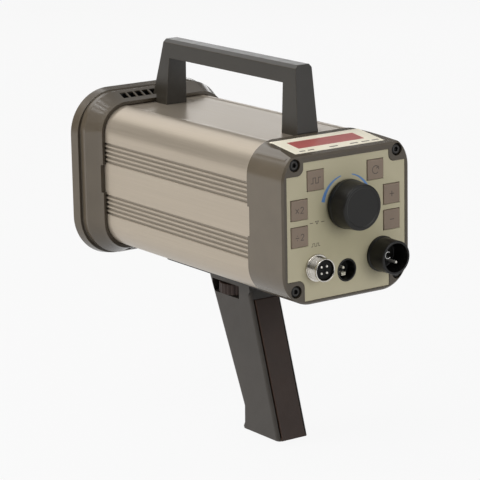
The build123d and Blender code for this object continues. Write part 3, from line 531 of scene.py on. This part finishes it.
studio = {
    "fill": 0.30, "seen": 0.94, "floorGlow": 0.92, "floorMirror": 0.75,
    "darkMirror": 0.08, "paleMirror": 0.8, "sideMirror": 0.44, "backMirror": 0.15,
    "floor": {"color": (0.36, 0.36, 0.36), "roughness": 0.7}, "floorHalf": 3.5, "floorDrop": 4.0,
}
white = (1, 1, 1, 1)


def makeWorld():
    world = bpy.data.worlds.new("studio")
    bpy.context.scene.world = world
    world.use_nodes = True
    tree = world.node_tree
    fill = tree.nodes["Background"]
    setInputs(fill, {"Color": white, "Strength": studio["fill"]})
    seen = addNode(tree, "Background", {"Color": white, "Strength": studio["seen"]})
    rays = addNode(tree, "LightPath").outputs
    # metal and gloss see a pale ceiling and right side, and a dark corner behind the left
    coords = addNode(tree, "TexCoord").outputs["Generated"]
    direction = addNode(tree, "SeparateXYZ", {0: coords}).outputs
    above = spread(tree, direction["Z"], studio["darkMirror"], studio["paleMirror"], 0.3, 0.65)
    beside = (
        spread(tree, direction["X"], 0.0, studio["sideMirror"], 0.1, 0.6), "*",
        spread(tree, direction["Y"], 1.0, studio["backMirror"], 0.1, 0.5),
    )
    mirrored = addNode(tree, "Background", {"Strength": calc(tree, above, "MAXIMUM", beside)})
    glossy = addNode(tree, "MixShader", {0: rays["Is Glossy Ray"], 1: fill, 2: mirrored})
    looking = calc(tree, rays["Is Camera Ray"], "MAXIMUM", rays["Is Transmission Ray"])
    through = addNode(tree, "MixShader", {0: looking, 1: glossy, 2: seen})
    setInputs(tree.nodes["World Output"], {"Surface": through})


makeWorld()
bpy.context.scene.view_settings.view_transform = "Standard"


def makeFloor():
    half, level = studio["floorHalf"], cadLow.z - studio["floorDrop"] * mm
    mesh = bpy.data.meshes.new("floor")
    mesh.from_pydata(
        [(x * half, y * half, level) for x, y in ((-1, -1), (1, -1), (1, 1), (-1, 1))],
        [], [(0, 1, 2, 3)],
    )
    material, tree, shader = newMaterial("paleFloor", studio["floor"])
    glow = addNode(tree, "Emission", {"Color": white, "Strength": 1.0})
    rays = addNode(tree, "LightPath").outputs
    looking = (rays["Is Camera Ray"], "MAXIMUM", rays["Is Transmission Ray"])
    share = calc(
        tree, (looking, "*", studio["floorGlow"]), "MAXIMUM",
        (rays["Is Glossy Ray"], "*", studio["floorMirror"]),
    )
    mix = addNode(tree, "MixShader", {0: share, 1: shader, 2: glow})
    setInputs(tree.nodes["Material Output"], {"Surface": mix})
    addObject("floor", mesh, material)


makeFloor()
print("camera, lamps and floor made")


def grown(item, name, shape, sizes):
    # the tree gets a named input for each size: whole numbers are counts, other numbers are
    # millimetres, and vectors are metres or radians
    tree = bpy.data.node_groups.new(name, "GeometryNodeTree")
    kinds = {int: "Int", float: "Float", Vector: "Vector"}
    for label, direction, kind in (
        ("Geometry", "INPUT", "Geometry"), ("Geometry", "OUTPUT", "Geometry"),
        *((label, "INPUT", kinds[type(size)]) for label, size in sizes.items()),
    ):
        tree.interface.new_socket(label, in_out=direction, socket_type="NodeSocket" + kind)
    material = item.data.materials[0]
    given = addNode(tree, "GroupInput").outputs
    made = shape(partial(addNode, tree), partial(calc, tree), given)
    real = addNode(tree, "RealizeInstances", {"Geometry": made})
    painted = addNode(tree, "SetMaterial", {"Geometry": real, "Material": material})
    addNode(tree, "GroupOutput", {0: painted})
    modifier = item.modifiers.new(name, "NODES")
    modifier.node_group = tree
    for socket in tree.interface.items_tree:
        if socket.name in sizes:
            size = sizes[socket.name]
            modifier[socket.identifier] = size * mm if isinstance(size, float) else size
    finished(item)
    item.data.materials.clear()
    item.data.materials.append(material)
    item.data.polygons.foreach_set("material_index", [0] * len(item.data.polygons))
    return item


def emptyPiece(name, nodeName):
    return addObject(name, bpy.data.meshes.new(name), lookOfNode[nodeName])


def drawnOut(add, curves, run):
    # closed curves, filled and drawn out into a solid
    face = add("FillCurve", {"Curve": add("JoinGeometry", {0: curves})})
    sides = add("ExtrudeMesh", {
        "Mesh": face, "Offset": run, "Offset Scale": 1.0, "Individual": False,
    })
    return add("JoinGeometry", {0: [sides, face]})


tube = {       # millimetres
    "size": 96.0, "corner": 18.5, "wall": 2.6, "groovePitch": 3.0, "grooveCount": 5,
    "grooveWidth": 1.45, "grooveDepth": 1.05, "grooveSoft": 0.35, "groupHeight": 17.7,
    "landDepth": 0.4, "landWidth": 59.0, "landSoft": 1.6, "samples": 2600,
    "run": Vector((0, 0, -172.0)) * mm, "place": place(0, 34.0, 0),
}


def tubeShape(add, math, given):
    # rounded square section, pressed in at each groove, then drawn out along the axis
    def roundedSquare(size, corner, count):
        square = add("CurvePrimitiveQuadrilateral", {"Width": size, "Height": size})
        return add("FilletCurve", {
            "Curve": square, "Radius": corner, "Count": count, "Limit Radius": True,
        }, mode="POLY")

    def dip(distance, kind):
        half, soft = math(given[kind + "Width"], "*", 0.5), given[kind + "Soft"]
        return add("MapRange", {
            "Value": distance, "From Min": math(half, "-", soft),
            "From Max": math(half, "+", soft), "To Min": given[kind + "Depth"], "To Max": 0.0,
        }, interpolation_type="SMOOTHSTEP").outputs[0]

    outer = add("ResampleCurve", {
        "Curve": roundedSquare(given["size"], given["corner"], 24), "Count": given["samples"],
    })
    spot = add("SeparateXYZ", {0: add("InputPosition")}).outputs
    across, up = spot["X"], spot["Y"]
    edge = math((given["size"], "*", 0.5), "-", 0.05 * mm)
    pitch = given["groovePitch"]
    # distance from the middle of the nearest groove of either group
    fromGroup = math((up, "ABSOLUTE"), "-", given["groupHeight"])
    phase = ((fromGroup, "/", pitch), "+", 0.5)
    fromGroove = math((((phase, "FRACT"), "-", 0.5), "ABSOLUTE"), "*", pitch)
    pressed = dip(fromGroove, "groove")
    inGroup = ((fromGroup, "ABSOLUTE"), "<", ((pitch, "*", given["grooveCount"]), "*", 0.5))
    onFlank = ((across, "ABSOLUTE"), ">", edge)
    inward = ((pressed, "*", (inGroup, "*", onFlank)), "*", ((across, "SIGN"), "*", -1.0))
    # the land on top lies a little lower than the rounded corners
    lowered = dip(math(across, "ABSOLUTE"), "land")
    onTop = (up, ">", (edge, "*", 0.97))
    push = add("CombineXYZ", {
        "X": math(*inward), "Y": math(lowered, "*", (onTop, "*", -1.0)),
    })
    shaped = add("SetPosition", {"Geometry": outer, "Offset": push})
    bore = roundedSquare(
        math(given["size"], "-", (given["wall"], "*", 2.0)),
        math(given["corner"], "-", given["wall"]), 12,
    )
    return add("Transform", {
        "Geometry": drawnOut(add, [shaped, bore], given["run"]),
        "Rotation": (pi / 2, 0, 0), "Translation": given["place"],
    })


bodyTube = grown(emptyPiece("body-extrusion", "body_extrusion"), "extrudedTube", tubeShape, tube)
finishPiece(reworked(bodyTube), "body_extrusion", smoothAngle=50)
print("tube drawn")


def ringShape(add, math, given):
    # repeats the piece that it is given round a circle
    ring = add("MeshCircle", {"Vertices": given["count"], "Radius": given["radius"]})
    started = add("Transform", {"Geometry": ring, "Rotation": given["start"]})
    repeated = add("InstanceOnPoints", {"Points": started, "Instance": given["Geometry"]})
    return add("Transform", {
        "Geometry": repeated, "Rotation": given["turn"], "Translation": given["place"],
    })


def setOnRing(nodeName, work, radius, facing, middle, smoothAngle):
    item = pieceFrom(work, nodeName)
    grown(item, "repeatOnRing", ringShape, {
        "radius": radius, "count": 4, "start": Vector((0, 0, radians(45))),
        "turn": Vector((facing * pi / 2, 0, 0)), "place": middle,
    })
    finishPiece(item, nodeName, smoothAngle=smoothAngle)


screw = {      # socket-head screw, millimetres from the top of its head
    # radius and level of each ring, and how many sides it has where it isn't round
    "rings": (
        (0.32, -2.5), (1.6, -2.2, 6), (1.6, -0.3, 6), (1.8, 0.0), (2.35, 0.0), (2.815, -0.09),
        (3.175, -0.36), (3.4, -0.9), (3.4, -3.6), (2.0, -3.6),
    ),
    # the two bands round the hex socket get a painted highlight
    "shankRadius": 2.0, "spacing": 79.0, "steps": 48, "glintRings": (2, 3),
}


def cornerScrews(nodeName, depth, facing, length):
    # one screw standing on its shank, the head's top face at z = 0, set at four corners
    work = bmesh.new()
    worn = work.faces.layers.float.new("wornEdge")
    steps = screw["steps"]

    def ring(radius, level, sides=steps):
        corners = []
        for step in range(steps):
            turn = 2 * pi * step / steps
            pull = 1.0 if sides == steps else (     # pulls the circle onto a polygon
                cos(pi / sides) / cos(turn % (2 * pi / sides) - pi / sides)
            )
            reach = radius * mm * pull
            corners.append((reach * cos(turn), reach * sin(turn), level * mm))
        return corners

    rings = [ring(*row) for row in (*screw["rings"], (screw["shankRadius"], -length))]
    bridge(work, rings)
    # painted highlight: the bands round the hex socket are marked for the pale edge tint
    for index, face in enumerate(work.faces):
        face[worn] = 1.0 if index // steps in screw["glintRings"] else 0.0
    setOnRing(nodeName, work, screw["spacing"] / sqrt(2), facing, place(0, depth, 0), 28)


cornerScrews("panel_screws", 0.6, 1, 49.0)
cornerScrews("hood_screws", 226.8, -1, 41.0)
print("corner screws set")

# profiles are (radius, depth behind the panel, rounding) in millimetres
knob = {"middle": (0.0, 10.6), "profile": (
    (0, -15.75, 0), (11.8, -15.75, 0.6), (12.3, -16.0, 0.3), (14.4, -16.0, 1.1),
    (15.35, -3.7, 0.3), (15.6, -3.4, 0.2), (15.6, -0.5, 0.3), (10.5, -0.5, 0.2),
    (10.5, -6.5, 0), (3.02, -6.5, 0), (3.02, -13.0, 0), (0, -13.0, 0),
), "shaft": ((0, -13.0, 0), (3.0, -13.0, 0.3), (3.0, 8.0, 0.4), (0, 8.0, 0))}
turnedPiece("rate_knob", knob["profile"], knob["middle"], 128)
turnedPiece("encoder_shaft", knob["shaft"], knob["middle"], 48)

thread = {"radius": 7.4, "start": -7.6, "pitch": 0.8, "turns": 7, "depth": 0.28}


def threadedFlank():                   # crests and roots of the thread along the socket
    return [
        (thread["radius"] - thread["depth"] * low,
         thread["start"] + (turn + share) * thread["pitch"], rounding)
        for turn in range(thread["turns"])
        for low, share, rounding in (
            (0, 0, 0.05), (1, 0.3, 0.04), (1, 0.45, 0.04), (0, 0.75, 0.05))
    ]


signalSocket = {"middle": (-23.7, -26.5), "shell": (
    (6.55, -8.7, 0.15), (6.9, -9.0, 0.1), (7.15, -9.0, 0.15), (7.4, -8.6, 0.15),
    *threadedFlank(), (7.4, -1.5, 0), (7.7, -1.2, 0), (8.5, -1.2, 0.3), (8.7, -0.8, 0.2),
    (8.7, 0.3, 0), (6.4, 0.3, 0), (6.4, 9.0, 0), (5.95, 9.0, 0), (5.95, 0.3, 0), (6.55, 0.3, 0),
), "insert": (
    (0, -6.9, 0), (1.0, -6.9, 0.2), (1.2, -7.3, 0), (5.8, -7.3, 0.3), (6.5, -6.7, 0.2),
    (6.5, 0.2, 0), (5.93, 0.2, 0), (5.93, 9.0, 0), (0, 9.0, 0),
), "pin": ((0.004, 0.0, 0), (0.8, 0.0, 0.6), (0.8, -20.0, 0), (0.004, -20.0, 0)),
    "pinCircle": 2.9, "pinTip": -8.0}
turnedPiece("signal_socket_shell", signalSocket["shell"], signalSocket["middle"], 112)
turnedPiece("signal_socket_insert", signalSocket["insert"], signalSocket["middle"], 64)

jack = {"middle": (-0.2, -31.7), "profile": (
    (6.3, 0.05, 0.3), (7.3, 0.05, 0.25), (7.3, 13.0, 0.4), (0, 13.0, 0), (0, 9.0, 0),
    (3.2, 9.0, 0.3), (3.4, 8.4, 0.2), (5.6, 8.4, 0.3), (6.3, 7.6, 0.3),
)}
turnedPiece("aux_jack_shell", jack["profile"], jack["middle"], 96)

inlet = {"middle": (26.9, -25.4), "barrel": (
    (9.2, -15.0, 0.3), (10.8, -15.0, 0.7), (10.8, -1.9, 0.2), (11.4, -1.3, 0.3), (11.4, 0.3, 0),
    (9.6, 0.3, 0), (9.6, 9.0, 0.4), (0, 9.0, 0), (0, -1.0, 0), (9.2, -1.0, 0.6),
), "pinCircle": 5.3, "pinStart": -51.0, "pinRadius": 1.0, "pinTips": (-10.8, -4.6, -4.6)}
turnedPiece("power_inlet_barrel", inlet["barrel"], inlet["middle"], 112)


def makeSignalPins():
    work = bmesh.new()
    latheInto(work, roundedProfile(signalSocket["pin"]),
              lambda across, up, along: Vector((across, up, along)) * mm, 24)
    middleX, middleUp = signalSocket["middle"]
    setOnRing("signal_socket_pins", work, signalSocket["pinCircle"], 1,
              place(middleX, signalSocket["pinTip"], middleUp), 40)


def makeInletPins():
    # one long contact that meets first, and two shorter ones
    work = bmesh.new()
    radius = inlet["pinRadius"]
    for index, tip in enumerate(inlet["pinTips"]):
        turn = radians(inlet["pinStart"] + 120 * index)
        middleX = inlet["middle"][0] + inlet["pinCircle"] * cos(turn)
        middleUp = inlet["middle"][1] + inlet["pinCircle"] * sin(turn)
        latheInto(work, roundedProfile([
            (0.004, tip, 0), (radius, tip, 0.7), (radius, -1.0, 0), (0.004, -1.0, 0),
        ]), lambda across, up, along: place(middleX + across, along, middleUp + up), 28)
    buildPiece(work, "power_inlet_pins", smoothAngle=40)


clip = {       # millimetres and degrees
    "middle": (20.65, -22.85), "outer": 2.35, "inner": 1.9, "start": 52, "end": 322,
    "tip": -14.6, "foot": -1.0, "edge": 0.12, "steps": 28,
}


def makeInletClip():
    # spring clip bent from strip into an open ring, beside the inside of the barrel
    work = bmesh.new()
    middleX, middleUp = clip["middle"]
    inner, outer, tip, foot = (clip[key] for key in ("inner", "outer", "tip", "foot"))
    bridge(work, [[
        place(middleX + radius * cos(turn), depth, middleUp + radius * sin(turn))
        for radius, depth in ((inner, tip), (outer, tip), (outer, foot), (inner, foot))
    ] for turn in map(radians, between(clip["start"], clip["end"], clip["steps"]))])
    buildPiece(work, "power_inlet_clip", clip["edge"], segments=2, angle=50, smoothAngle=40)


makeSignalPins()
makeInletPins()
makeInletClip()
print("knob and sockets turned")

optics = {
    "vertex": 180.0, "rim": 220.0, "rimRadius": 44.5, "holeRadius": 12.0, "wall": 1.6,
    "flange": ((49.5, 220.0, 0), (49.5, 219.0, 0)), "steps": 28,
    "lens": (
        (0, 226.0, 0), (0, 228.6, 0), (12, 228.5, 0), (24, 228.15, 0), (36, 227.4, 0),
        (43, 226.85, 0), (46.4, 226.3, 0.5), (46.4, 223.0, 0.2), (49.4, 223.0, 0.3),
        (49.4, 221.0, 0.3), (44.0, 221.0, 0.3), (44.0, 224.1, 0.5), (36, 224.8, 0),
        (24, 225.45, 0), (12, 225.85, 0),
    ),
    "gasket": ((46.8, 223.0, 0.1), (49.5, 223.0, 0.1), (49.5, 223.5, 0.1), (46.8, 223.5, 0.1)),
    "base": ((0, 170.0, 0), (11.8, 170.0, 0.5), (11.8, 186.0, 0.8), (9.0, 188.0, 0.5),
             (0, 188.0, 0)),
}


def bowlCurve(setBack):                # parabola of the reflector from its hole to its rim
    vertex, hole, rim = optics["vertex"], optics["holeRadius"], optics["rimRadius"]
    focalRun = rim ** 2 / (optics["rim"] - vertex)
    radii = between(hole, rim, optics["steps"])
    return [(radius, vertex + radius ** 2 / focalRun - setBack, 0) for radius in radii]


turnedPiece("reflector", [
    *bowlCurve(0), *optics["flange"], *reversed(bowlCurve(optics["wall"])),
], steps=128, pieceName="reflector-bowl")
turnedPiece("flash_lens", optics["lens"], steps=128)
turnedPiece("lens_gasket", optics["gasket"], steps=128)
turnedPiece("lamp_base", optics["base"], steps=64)
refinedCopy("flash_tube", 0.0, smoothAngle=60)

wire = {       # thin wire wound round the lamp's bent tube, millimetres
    "leg": 7.0, "legStart": 188.4, "legEnd": 203.0, "bend": 24,
    "winding": {"coil": 3.45, "turns": 17, "thickness": 0.16, "samples": 900},
}


def windingShape(add, math, given):
    path = add("MeshToCurve", {"Mesh": given["Geometry"]})
    fine = add("ResampleCurve", {"Curve": path, "Count": given["samples"]})
    along = add("SplineParameter").outputs["Factor"]
    turn = math((along, "*", given["turns"]), "*", 2 * pi)
    normal, tangent = add("InputNormal"), add("InputTangent")
    sideways = add("VectorMath", {0: tangent, 1: normal}, operation="CROSS_PRODUCT")

    def scaled(vector, wave):
        reach = math((turn, wave), "*", given["coil"])
        return add("VectorMath", {0: vector, "Scale": reach}, operation="SCALE")

    away = add("VectorMath", {
        0: scaled(normal, "COSINE"), 1: scaled(sideways, "SINE"),
    }, operation="ADD")
    section = add("CurvePrimitiveCircle", {"Resolution": 6, "Radius": given["thickness"]})
    return add("CurveToMesh", {
        "Curve": add("SetPosition", {"Geometry": fine, "Offset": away}),
        "Profile Curve": section, "Fill Caps": True,
    })


def makeTriggerWire():
    leg, bendStart = wire["leg"], wire["legEnd"]
    points = [
        place(-leg, wire["legStart"], 0),
        *(place(-leg * cos(turn), bendStart + leg * sin(turn), 0)
          for turn in between(0, pi, wire["bend"])),
        place(leg, wire["legStart"], 0),
    ]
    path = bpy.data.meshes.new("trigger-wire")
    path.from_pydata(points, [(i, i + 1) for i in range(len(points) - 1)], [])
    item = addObject("trigger-wire", path, materials["contactMetal"])
    grown(item, "woundWire", windingShape, wire["winding"])
    softEdges(reworked(item, 0.0001), 0, smoothAngle=80)
    addDetail(item, "housing")


makeTriggerWire()
print("lens, reflector and lamp made")

wheel = {
    "radius": 14.0, "bore": 3.12, "notches": 26, "notchDepth": 0.35, "samples": 12,
    "run": Vector((0, 0, 7.3 * mm)), "place": Vector((0, 21.2 * mm, 36.6 * mm)),
}
wheelEdge = 0.55


def wheelShape(add, math, given):
    # disc whose rim is pressed in at each finger notch
    rim = add("CurvePrimitiveCircle", {
        "Resolution": math(given["notches"], "*", given["samples"]), "Radius": given["radius"],
    })
    position = add("InputPosition")
    spot = add("SeparateXYZ", {0: position}).outputs
    wave = (((spot["Y"], "ARCTAN2", spot["X"]), "*", given["notches"]), "COSINE")
    pressed = (((wave, "*", 0.5), "+", 0.5), "POWER", 2.2)
    share = math(((pressed, "*", given["notchDepth"]), "/", given["radius"]), "*", -1.0)
    push = add("VectorMath", {0: position, "Scale": share}, operation="SCALE")
    notched = add("SetPosition", {"Geometry": rim, "Offset": push})
    bore = add("CurvePrimitiveCircle", {"Resolution": 48, "Radius": given["bore"]})
    return add("Transform", {
        "Geometry": drawnOut(add, [notched, bore], given["run"]), "Translation": given["place"],
    })


fingerWheel = grown(emptyPiece("finger-wheel", "thumbwheel"), "fingerWheel", wheelShape, wheel)
reworked(reworked(fingerWheel), flat=0.5, outward=False)
finishPiece(fingerWheel, "thumbwheel", wheelEdge, angle=60, smoothAngle=50)

screen = {     # thin web inside the grip that closes the gap round the wheel
    "sides": (6.5, 8.0), "edge": 0.15, "outline": (
        (21.0, 45.0), (5.5, 45.0), (5.5, 35.5), (36.5, 35.5), (36.5, 45.0), (21.4, 45.0),
        (21.4, 44.02), (34.0, 44.02), (34.0, 36.48), (8.4, 36.48), (8.4, 44.02), (21.0, 44.02),
    ),
}


def makeWheelScreen():
    work = bmesh.new()
    bridge(work, [
        [Vector((side, depth, level)) * mm for depth, level in screen["outline"]]
        for side in screen["sides"]
    ])
    item = pieceFrom(work, "grip_left_shell", "wheel-screen")
    softEdges(item, screen["edge"], segments=2)
    addDetail(item, "housing")


makeWheelScreen()

hood = {
    "arcSteps": 18, "edge": 0.4,
    # depth, width and corner, then height and middle where they differ from width and axis
    "sections": (
        (202.5, 100.8, 20.0), (206.5, 103.2, 21.5), (216.0, 112.0, 27.0), (216.4, 110.4, 26.2),
        (222.2, 110.4, 26.2), (222.2, 115.0, 28.7, 113.4, -0.8),
        (229.1, 117.3, 29.8, 115.7, -0.8), (230.0, 115.6, 29.0, 114.0, -0.8),
        (230.0, 108.6, 25.5, 107.0, -0.8), (227.0, 108.6, 25.5, 107.0, -0.8),
        (227.0, 93.2, 46.6), (223.5, 93.2, 46.6), (223.5, 99.6, 20.8), (208.5, 99.6, 20.8),
        (208.5, 91.0, 15.9), (206.0, 91.0, 15.9), (206.0, 96.3, 18.65), (202.5, 96.3, 18.65),
    ),
    "openings": {
        "ventCount": 6, "ventStep": Vector((5.94 * mm, 0, 0)),
        "ventSize": Vector((4.6, 5.9, 12.0)) * mm, "ventStart": place(-26.8, 210.25, 52.5),
        "ventDrop": Vector((0, 0, -105.0 * mm)), "notchSize": Vector((130.0, 3.8, 19.0)) * mm,
        "notchPlace": place(0, 202.5, 0), "screwSpacing": 79.0,
        "columnRadius": 4.6, "columnLength": 17.0, "columnPlace": place(0, 215.2, 0),
        "boreRadius": 4.0, "boreLength": 5.0, "borePlace": place(0, 225.7, 0),
    },
}


def sectionRing(depth, width, corner, height=None, middle=0.0):
    ring, height = [], height or width
    for quarter, (right, up) in enumerate(((1, 1), (-1, 1), (-1, -1), (1, -1))):
        for step in range(hood["arcSteps"] + 1):
            turn = radians(90 * quarter + 90 * step / hood["arcSteps"])
            ring.append(place(
                right * (width / 2 - corner) + corner * cos(turn), depth,
                middle + up * (height / 2 - corner) + corner * sin(turn),
            ))
    return ring


def hoodOpenings(add, math, given):
    # adds the screw columns, then cuts the cooling slots, the lip's notch and the screw pockets
    def moved(geometry, translation, rotation=(0, 0, 0)):
        return add("Transform", {
            "Geometry": geometry, "Translation": translation, "Rotation": rotation,
        })

    def atCorners(kind):
        rod = add("MeshCylinder", {
            "Vertices": 40, "Radius": given[kind + "Radius"], "Depth": given[kind + "Length"],
        })
        spacing = given["screwSpacing"]
        grid = add("MeshGrid", {
            "Size X": spacing, "Size Y": spacing, "Vertices X": 2, "Vertices Y": 2,
        })
        rods = add("InstanceOnPoints", {"Points": grid, "Instance": rod})
        return moved(rods, given[kind + "Place"], (pi / 2, 0, 0))

    def solid(*parts):
        joined = add("JoinGeometry", {0: list(parts)})
        return add("RealizeInstances", {"Geometry": joined})

    row = add("MeshLine", {
        "Count": given["ventCount"], "Start Location": given["ventStart"],
        "Offset": given["ventStep"],
    })
    slot = add("MeshCube", {"Size": given["ventSize"]})
    slots = add("InstanceOnPoints", {"Points": row, "Instance": slot})
    notch = add("MeshCube", {"Size": given["notchSize"]})
    cutters = solid(
        slots, moved(slots, given["ventDrop"]), moved(notch, given["notchPlace"]),
        atCorners("bore"),
    )
    filled = add("MeshBoolean", {
        "Mesh 2": [given["Geometry"], solid(atCorners("column"))],
    }, operation="UNION", solver="EXACT")
    return add("MeshBoolean", {"Mesh 1": filled, "Mesh 2": cutters},
               operation="DIFFERENCE", solver="EXACT")


def makeHood():
    work = bmesh.new()
    bridge(work, [sectionRing(*section) for section in hood["sections"]], loop=True)
    item = pieceFrom(work, "flash_hood")
    softEdges(item, hood["edge"])
    grown(item, "hoodOpenings", hoodOpenings, hood["openings"])
    finishPiece(reworked(item, 0.0005), "flash_hood", weighted=True)


makeHood()
print("hood lofted and cut")

pad = {        # soft front of the grip, millimetres from the middle of the grip
    "topFront": (-2.5, 55.4), "bottomFront": (-36.3, -51.5), "faces": (-0.4, 2.35), "edge": 0.7,
    # half widths and levels down the right edge
    "flank": ((9.25, 37.7), (9.25, -49.6), (10.12, -50.6), (10.12, -51.5)),
}


def makePad():
    topY, topZ = pad["topFront"]
    lowY, lowZ = pad["bottomFront"]
    slope = (topY - lowY) / (topZ - lowZ)
    stretch = hypot(1, slope)
    outline = [*pad["flank"], *((-across, level) for across, level in reversed(pad["flank"]))]
    work = bmesh.new()
    bridge(work, [[
        Vector((across, topY - (topZ - level) * slope + inward * stretch, level)) * mm
        for across, level in outline
    ] for inward in pad["faces"]])
    buildPiece(work, "grip_front_pad", pad["edge"], segments=5)


makePad()

edgeWidths = {     # rounding of the carried-over pieces' edges, millimetres
    "operator_cap": 0.45, "top_handle": 1.5, "grip_left_shell": 0.45, "grip_right_shell": 0.45,
    "grip_plate": 0.3, "panel_overlay": 0.12, "display_bezel": 0.15, "display_window": 0.25,
    "display_module": 0.2, "key_board": 0.15, "encoder_body": 0.2, "encoder_nut": 0.25,
    "signal_socket_nut": 0.25, "aux_jack_contacts": 0.3, "main_board": 0.15,
    "supply_transformer": 0.8, "flash_capacitor": 0.5, "trigger_transformer": 0.6,
    "handle_screws": 0.3, "grip_screws": 0.15, "thumbwheel_stud": 0.2, "bush_plate": 0.3,
    "key_double": 0.3, "key_halve": 0.3, "key_signal": 0.3, "key_mode": 0.3, "key_raise": 0.3,
    "key_lower": 0.3,
}
for nodeName, width in edgeWidths.items():
    refinedCopy(nodeName, width)
print("carried-over pieces refined")

# flat printed marks: thin closed ribbons that lie on a face, in millimetres
ink = {"lift": 0.03, "sink": -0.05, "slopeFoot": 44.3, "slopeRise": 4.9, "slopeRun": 37.0}
slopeAngle = atan2(ink["slopeRise"], ink["slopeRun"])


def onPanel(depth):
    return lambda across, up, out: place(across, depth - out, up)


def onSlope(across, along, out):       # along runs up the sloping display face
    return place(
        across, along * cos(slopeAngle) - out * sin(slopeAngle),
        ink["slopeFoot"] + along * sin(slopeAngle) + out * cos(slopeAngle),
    )


def ribbonInto(work, surface, points, width, loop=False):
    widths = width if isinstance(width, list) else [width] * len(points)
    spots = [Vector(point) for point in points]
    last = len(spots) - 1
    sections = []
    for index, here in enumerate(spots):
        into = (here - spots[index - 1]).normalized() if index > 0 or loop else None
        onward = (spots[(index + 1) % len(spots)] - here).normalized()
        if index == last and not loop:
            onward = into
        into = into or onward
        heading = (into + onward).normalized()
        side = Vector((-heading.y, heading.x))
        lean = side.dot(Vector((-into.y, into.x)))
        across = side * (widths[index] / 2 / max(lean, 0.5))
        sections.append([
            surface(*(here + across * way), ink[level])
            for way, level in ((-1, "lift"), (1, "lift"), (1, "sink"), (-1, "sink"))
        ])
    bridge(work, sections, loop)


def arcPoints(centre, radius, start, end, steps=12):
    turns = map(radians, between(start, end, steps))
    return [(centre[0] + radius * cos(turn), centre[1] + radius * sin(turn)) for turn in turns]


def figureTwo(left, bottom, size):
    width = size * 0.56
    bend = arcPoints((left + width / 2, bottom + size - width / 2), width / 2, 165, -35, 9)
    return bend + [(left, bottom), (left + width, bottom)]


def makeMarks(name, surface, lines, inkName="printedMark", bodyName="housing",
              middle=(0, 0)):
    work = bmesh.new()
    for points, *rest in lines:        # the width, and True where the line is a loop
        moved = [(middle[0] + across, middle[1] + up) for across, up in points]
        ribbonInto(work, surface, moved, *rest)
    addDetail(pieceFrom(work, None, name, materials[inkName], 0.00001), bodyName)


keyMarks = {       # middle of each key, then the lines of its symbol with their widths
    "key_double": ((-36.5, 11.5), (
        ([(-3.0, -1.7), (-0.7, 1.0)], 0.5), ([(-3.0, 1.0), (-0.7, -1.7)], 0.5),
        (figureTwo(0.8, -2.0, 3.8), 0.5),
    )),
    "key_halve": ((-36.5, -5.4), (
        ([(-3.3, -0.3), (-0.6, -0.3)], 0.5), ([(-2.2, 1.1), (-1.7, 1.1)], 0.55),
        ([(-2.2, -1.7), (-1.7, -1.7)], 0.55), (figureTwo(0.8, -2.0, 3.8), 0.5),
    )),
    "key_signal": ((-23.9, 28.5), (
        ([(-4.0, -1.8), (-2.2, -1.8), (-2.2, 1.6), (-0.2, 1.6), (-0.2, -1.8), (1.9, -1.8),
          (1.9, 1.6), (3.9, 1.6)], 0.5),
    )),
    "key_mode": ((22.4, 29.1), (
        (arcPoints((0, -0.2), 2.5, 40, 320, 20), 0.5),
        ([(0.6, 0.6), (2.2, 1.6), (2.5, -0.3)], 0.5),
    )),
    "key_raise": ((35.2, 12.0), (
        ([(-1.7, 0.0), (1.7, 0.0)], 0.55), ([(0.0, -1.7), (0.0, 1.7)], 0.55),
    )),
    "key_lower": ((35.2, -4.4), (([(-1.7, 0.0), (1.7, 0.0)], 0.55),)),
}
for nodeName, (middle, lines) in keyMarks.items():
    makeMarks(nodeName.replace("_", "-") + "-mark", onPanel(-0.3), lines,
              bodyName=bodyOfNode[nodeName], middle=middle)

panelMarks = (
    ([(-27.6, -12.9), (-26.4, -12.9), (-26.4, -11.1), (-24.9, -11.1), (-24.9, -12.9),
      (-23.3, -12.9), (-23.3, -11.1), (-21.9, -11.1), (-21.9, -12.9), (-20.7, -12.9)], 0.35),
    ([(-24.2, 2.7), (-21.8, 2.7), (-23.0, 0.9)], 0.4, True),
    ([(-28.6, 1.9), (-26.0, 1.9)], 0.4), ([(-19.9, 1.9), (-17.3, 1.9)], 0.4),
)
makeMarks("panel-marks", onPanel(0.3), panelMarks)

# start and end of each tapered arc round the knob in degrees, and its width at each
arcs = {"radius": 18.4, "steps": 30, "spans": (((170, 103), (2.7, 0.6)), ((77, 27), (0.6, 1.8)))}
makeMarks("rate-arcs", onPanel(0.3), [(
    arcPoints(knob["middle"], arcs["radius"], *span, arcs["steps"]),
    between(*widths, arcs["steps"]),
) for span, widths in arcs["spans"]], "blueArcInk")

dashes = {"along": 9.3, "width": 1.3, "spans": (
    (-29.0, -24.6), (-22.6, -18.0), (-6.0, 0.4), (10.0, 16.0), (19.0, 25.0), (27.0, 32.5),
)}
makeMarks("display-marks", onSlope, [
    ([(start, dashes["along"]), (end, dashes["along"])], dashes["width"])
    for start, end in dashes["spans"]
])
print("marks printed")
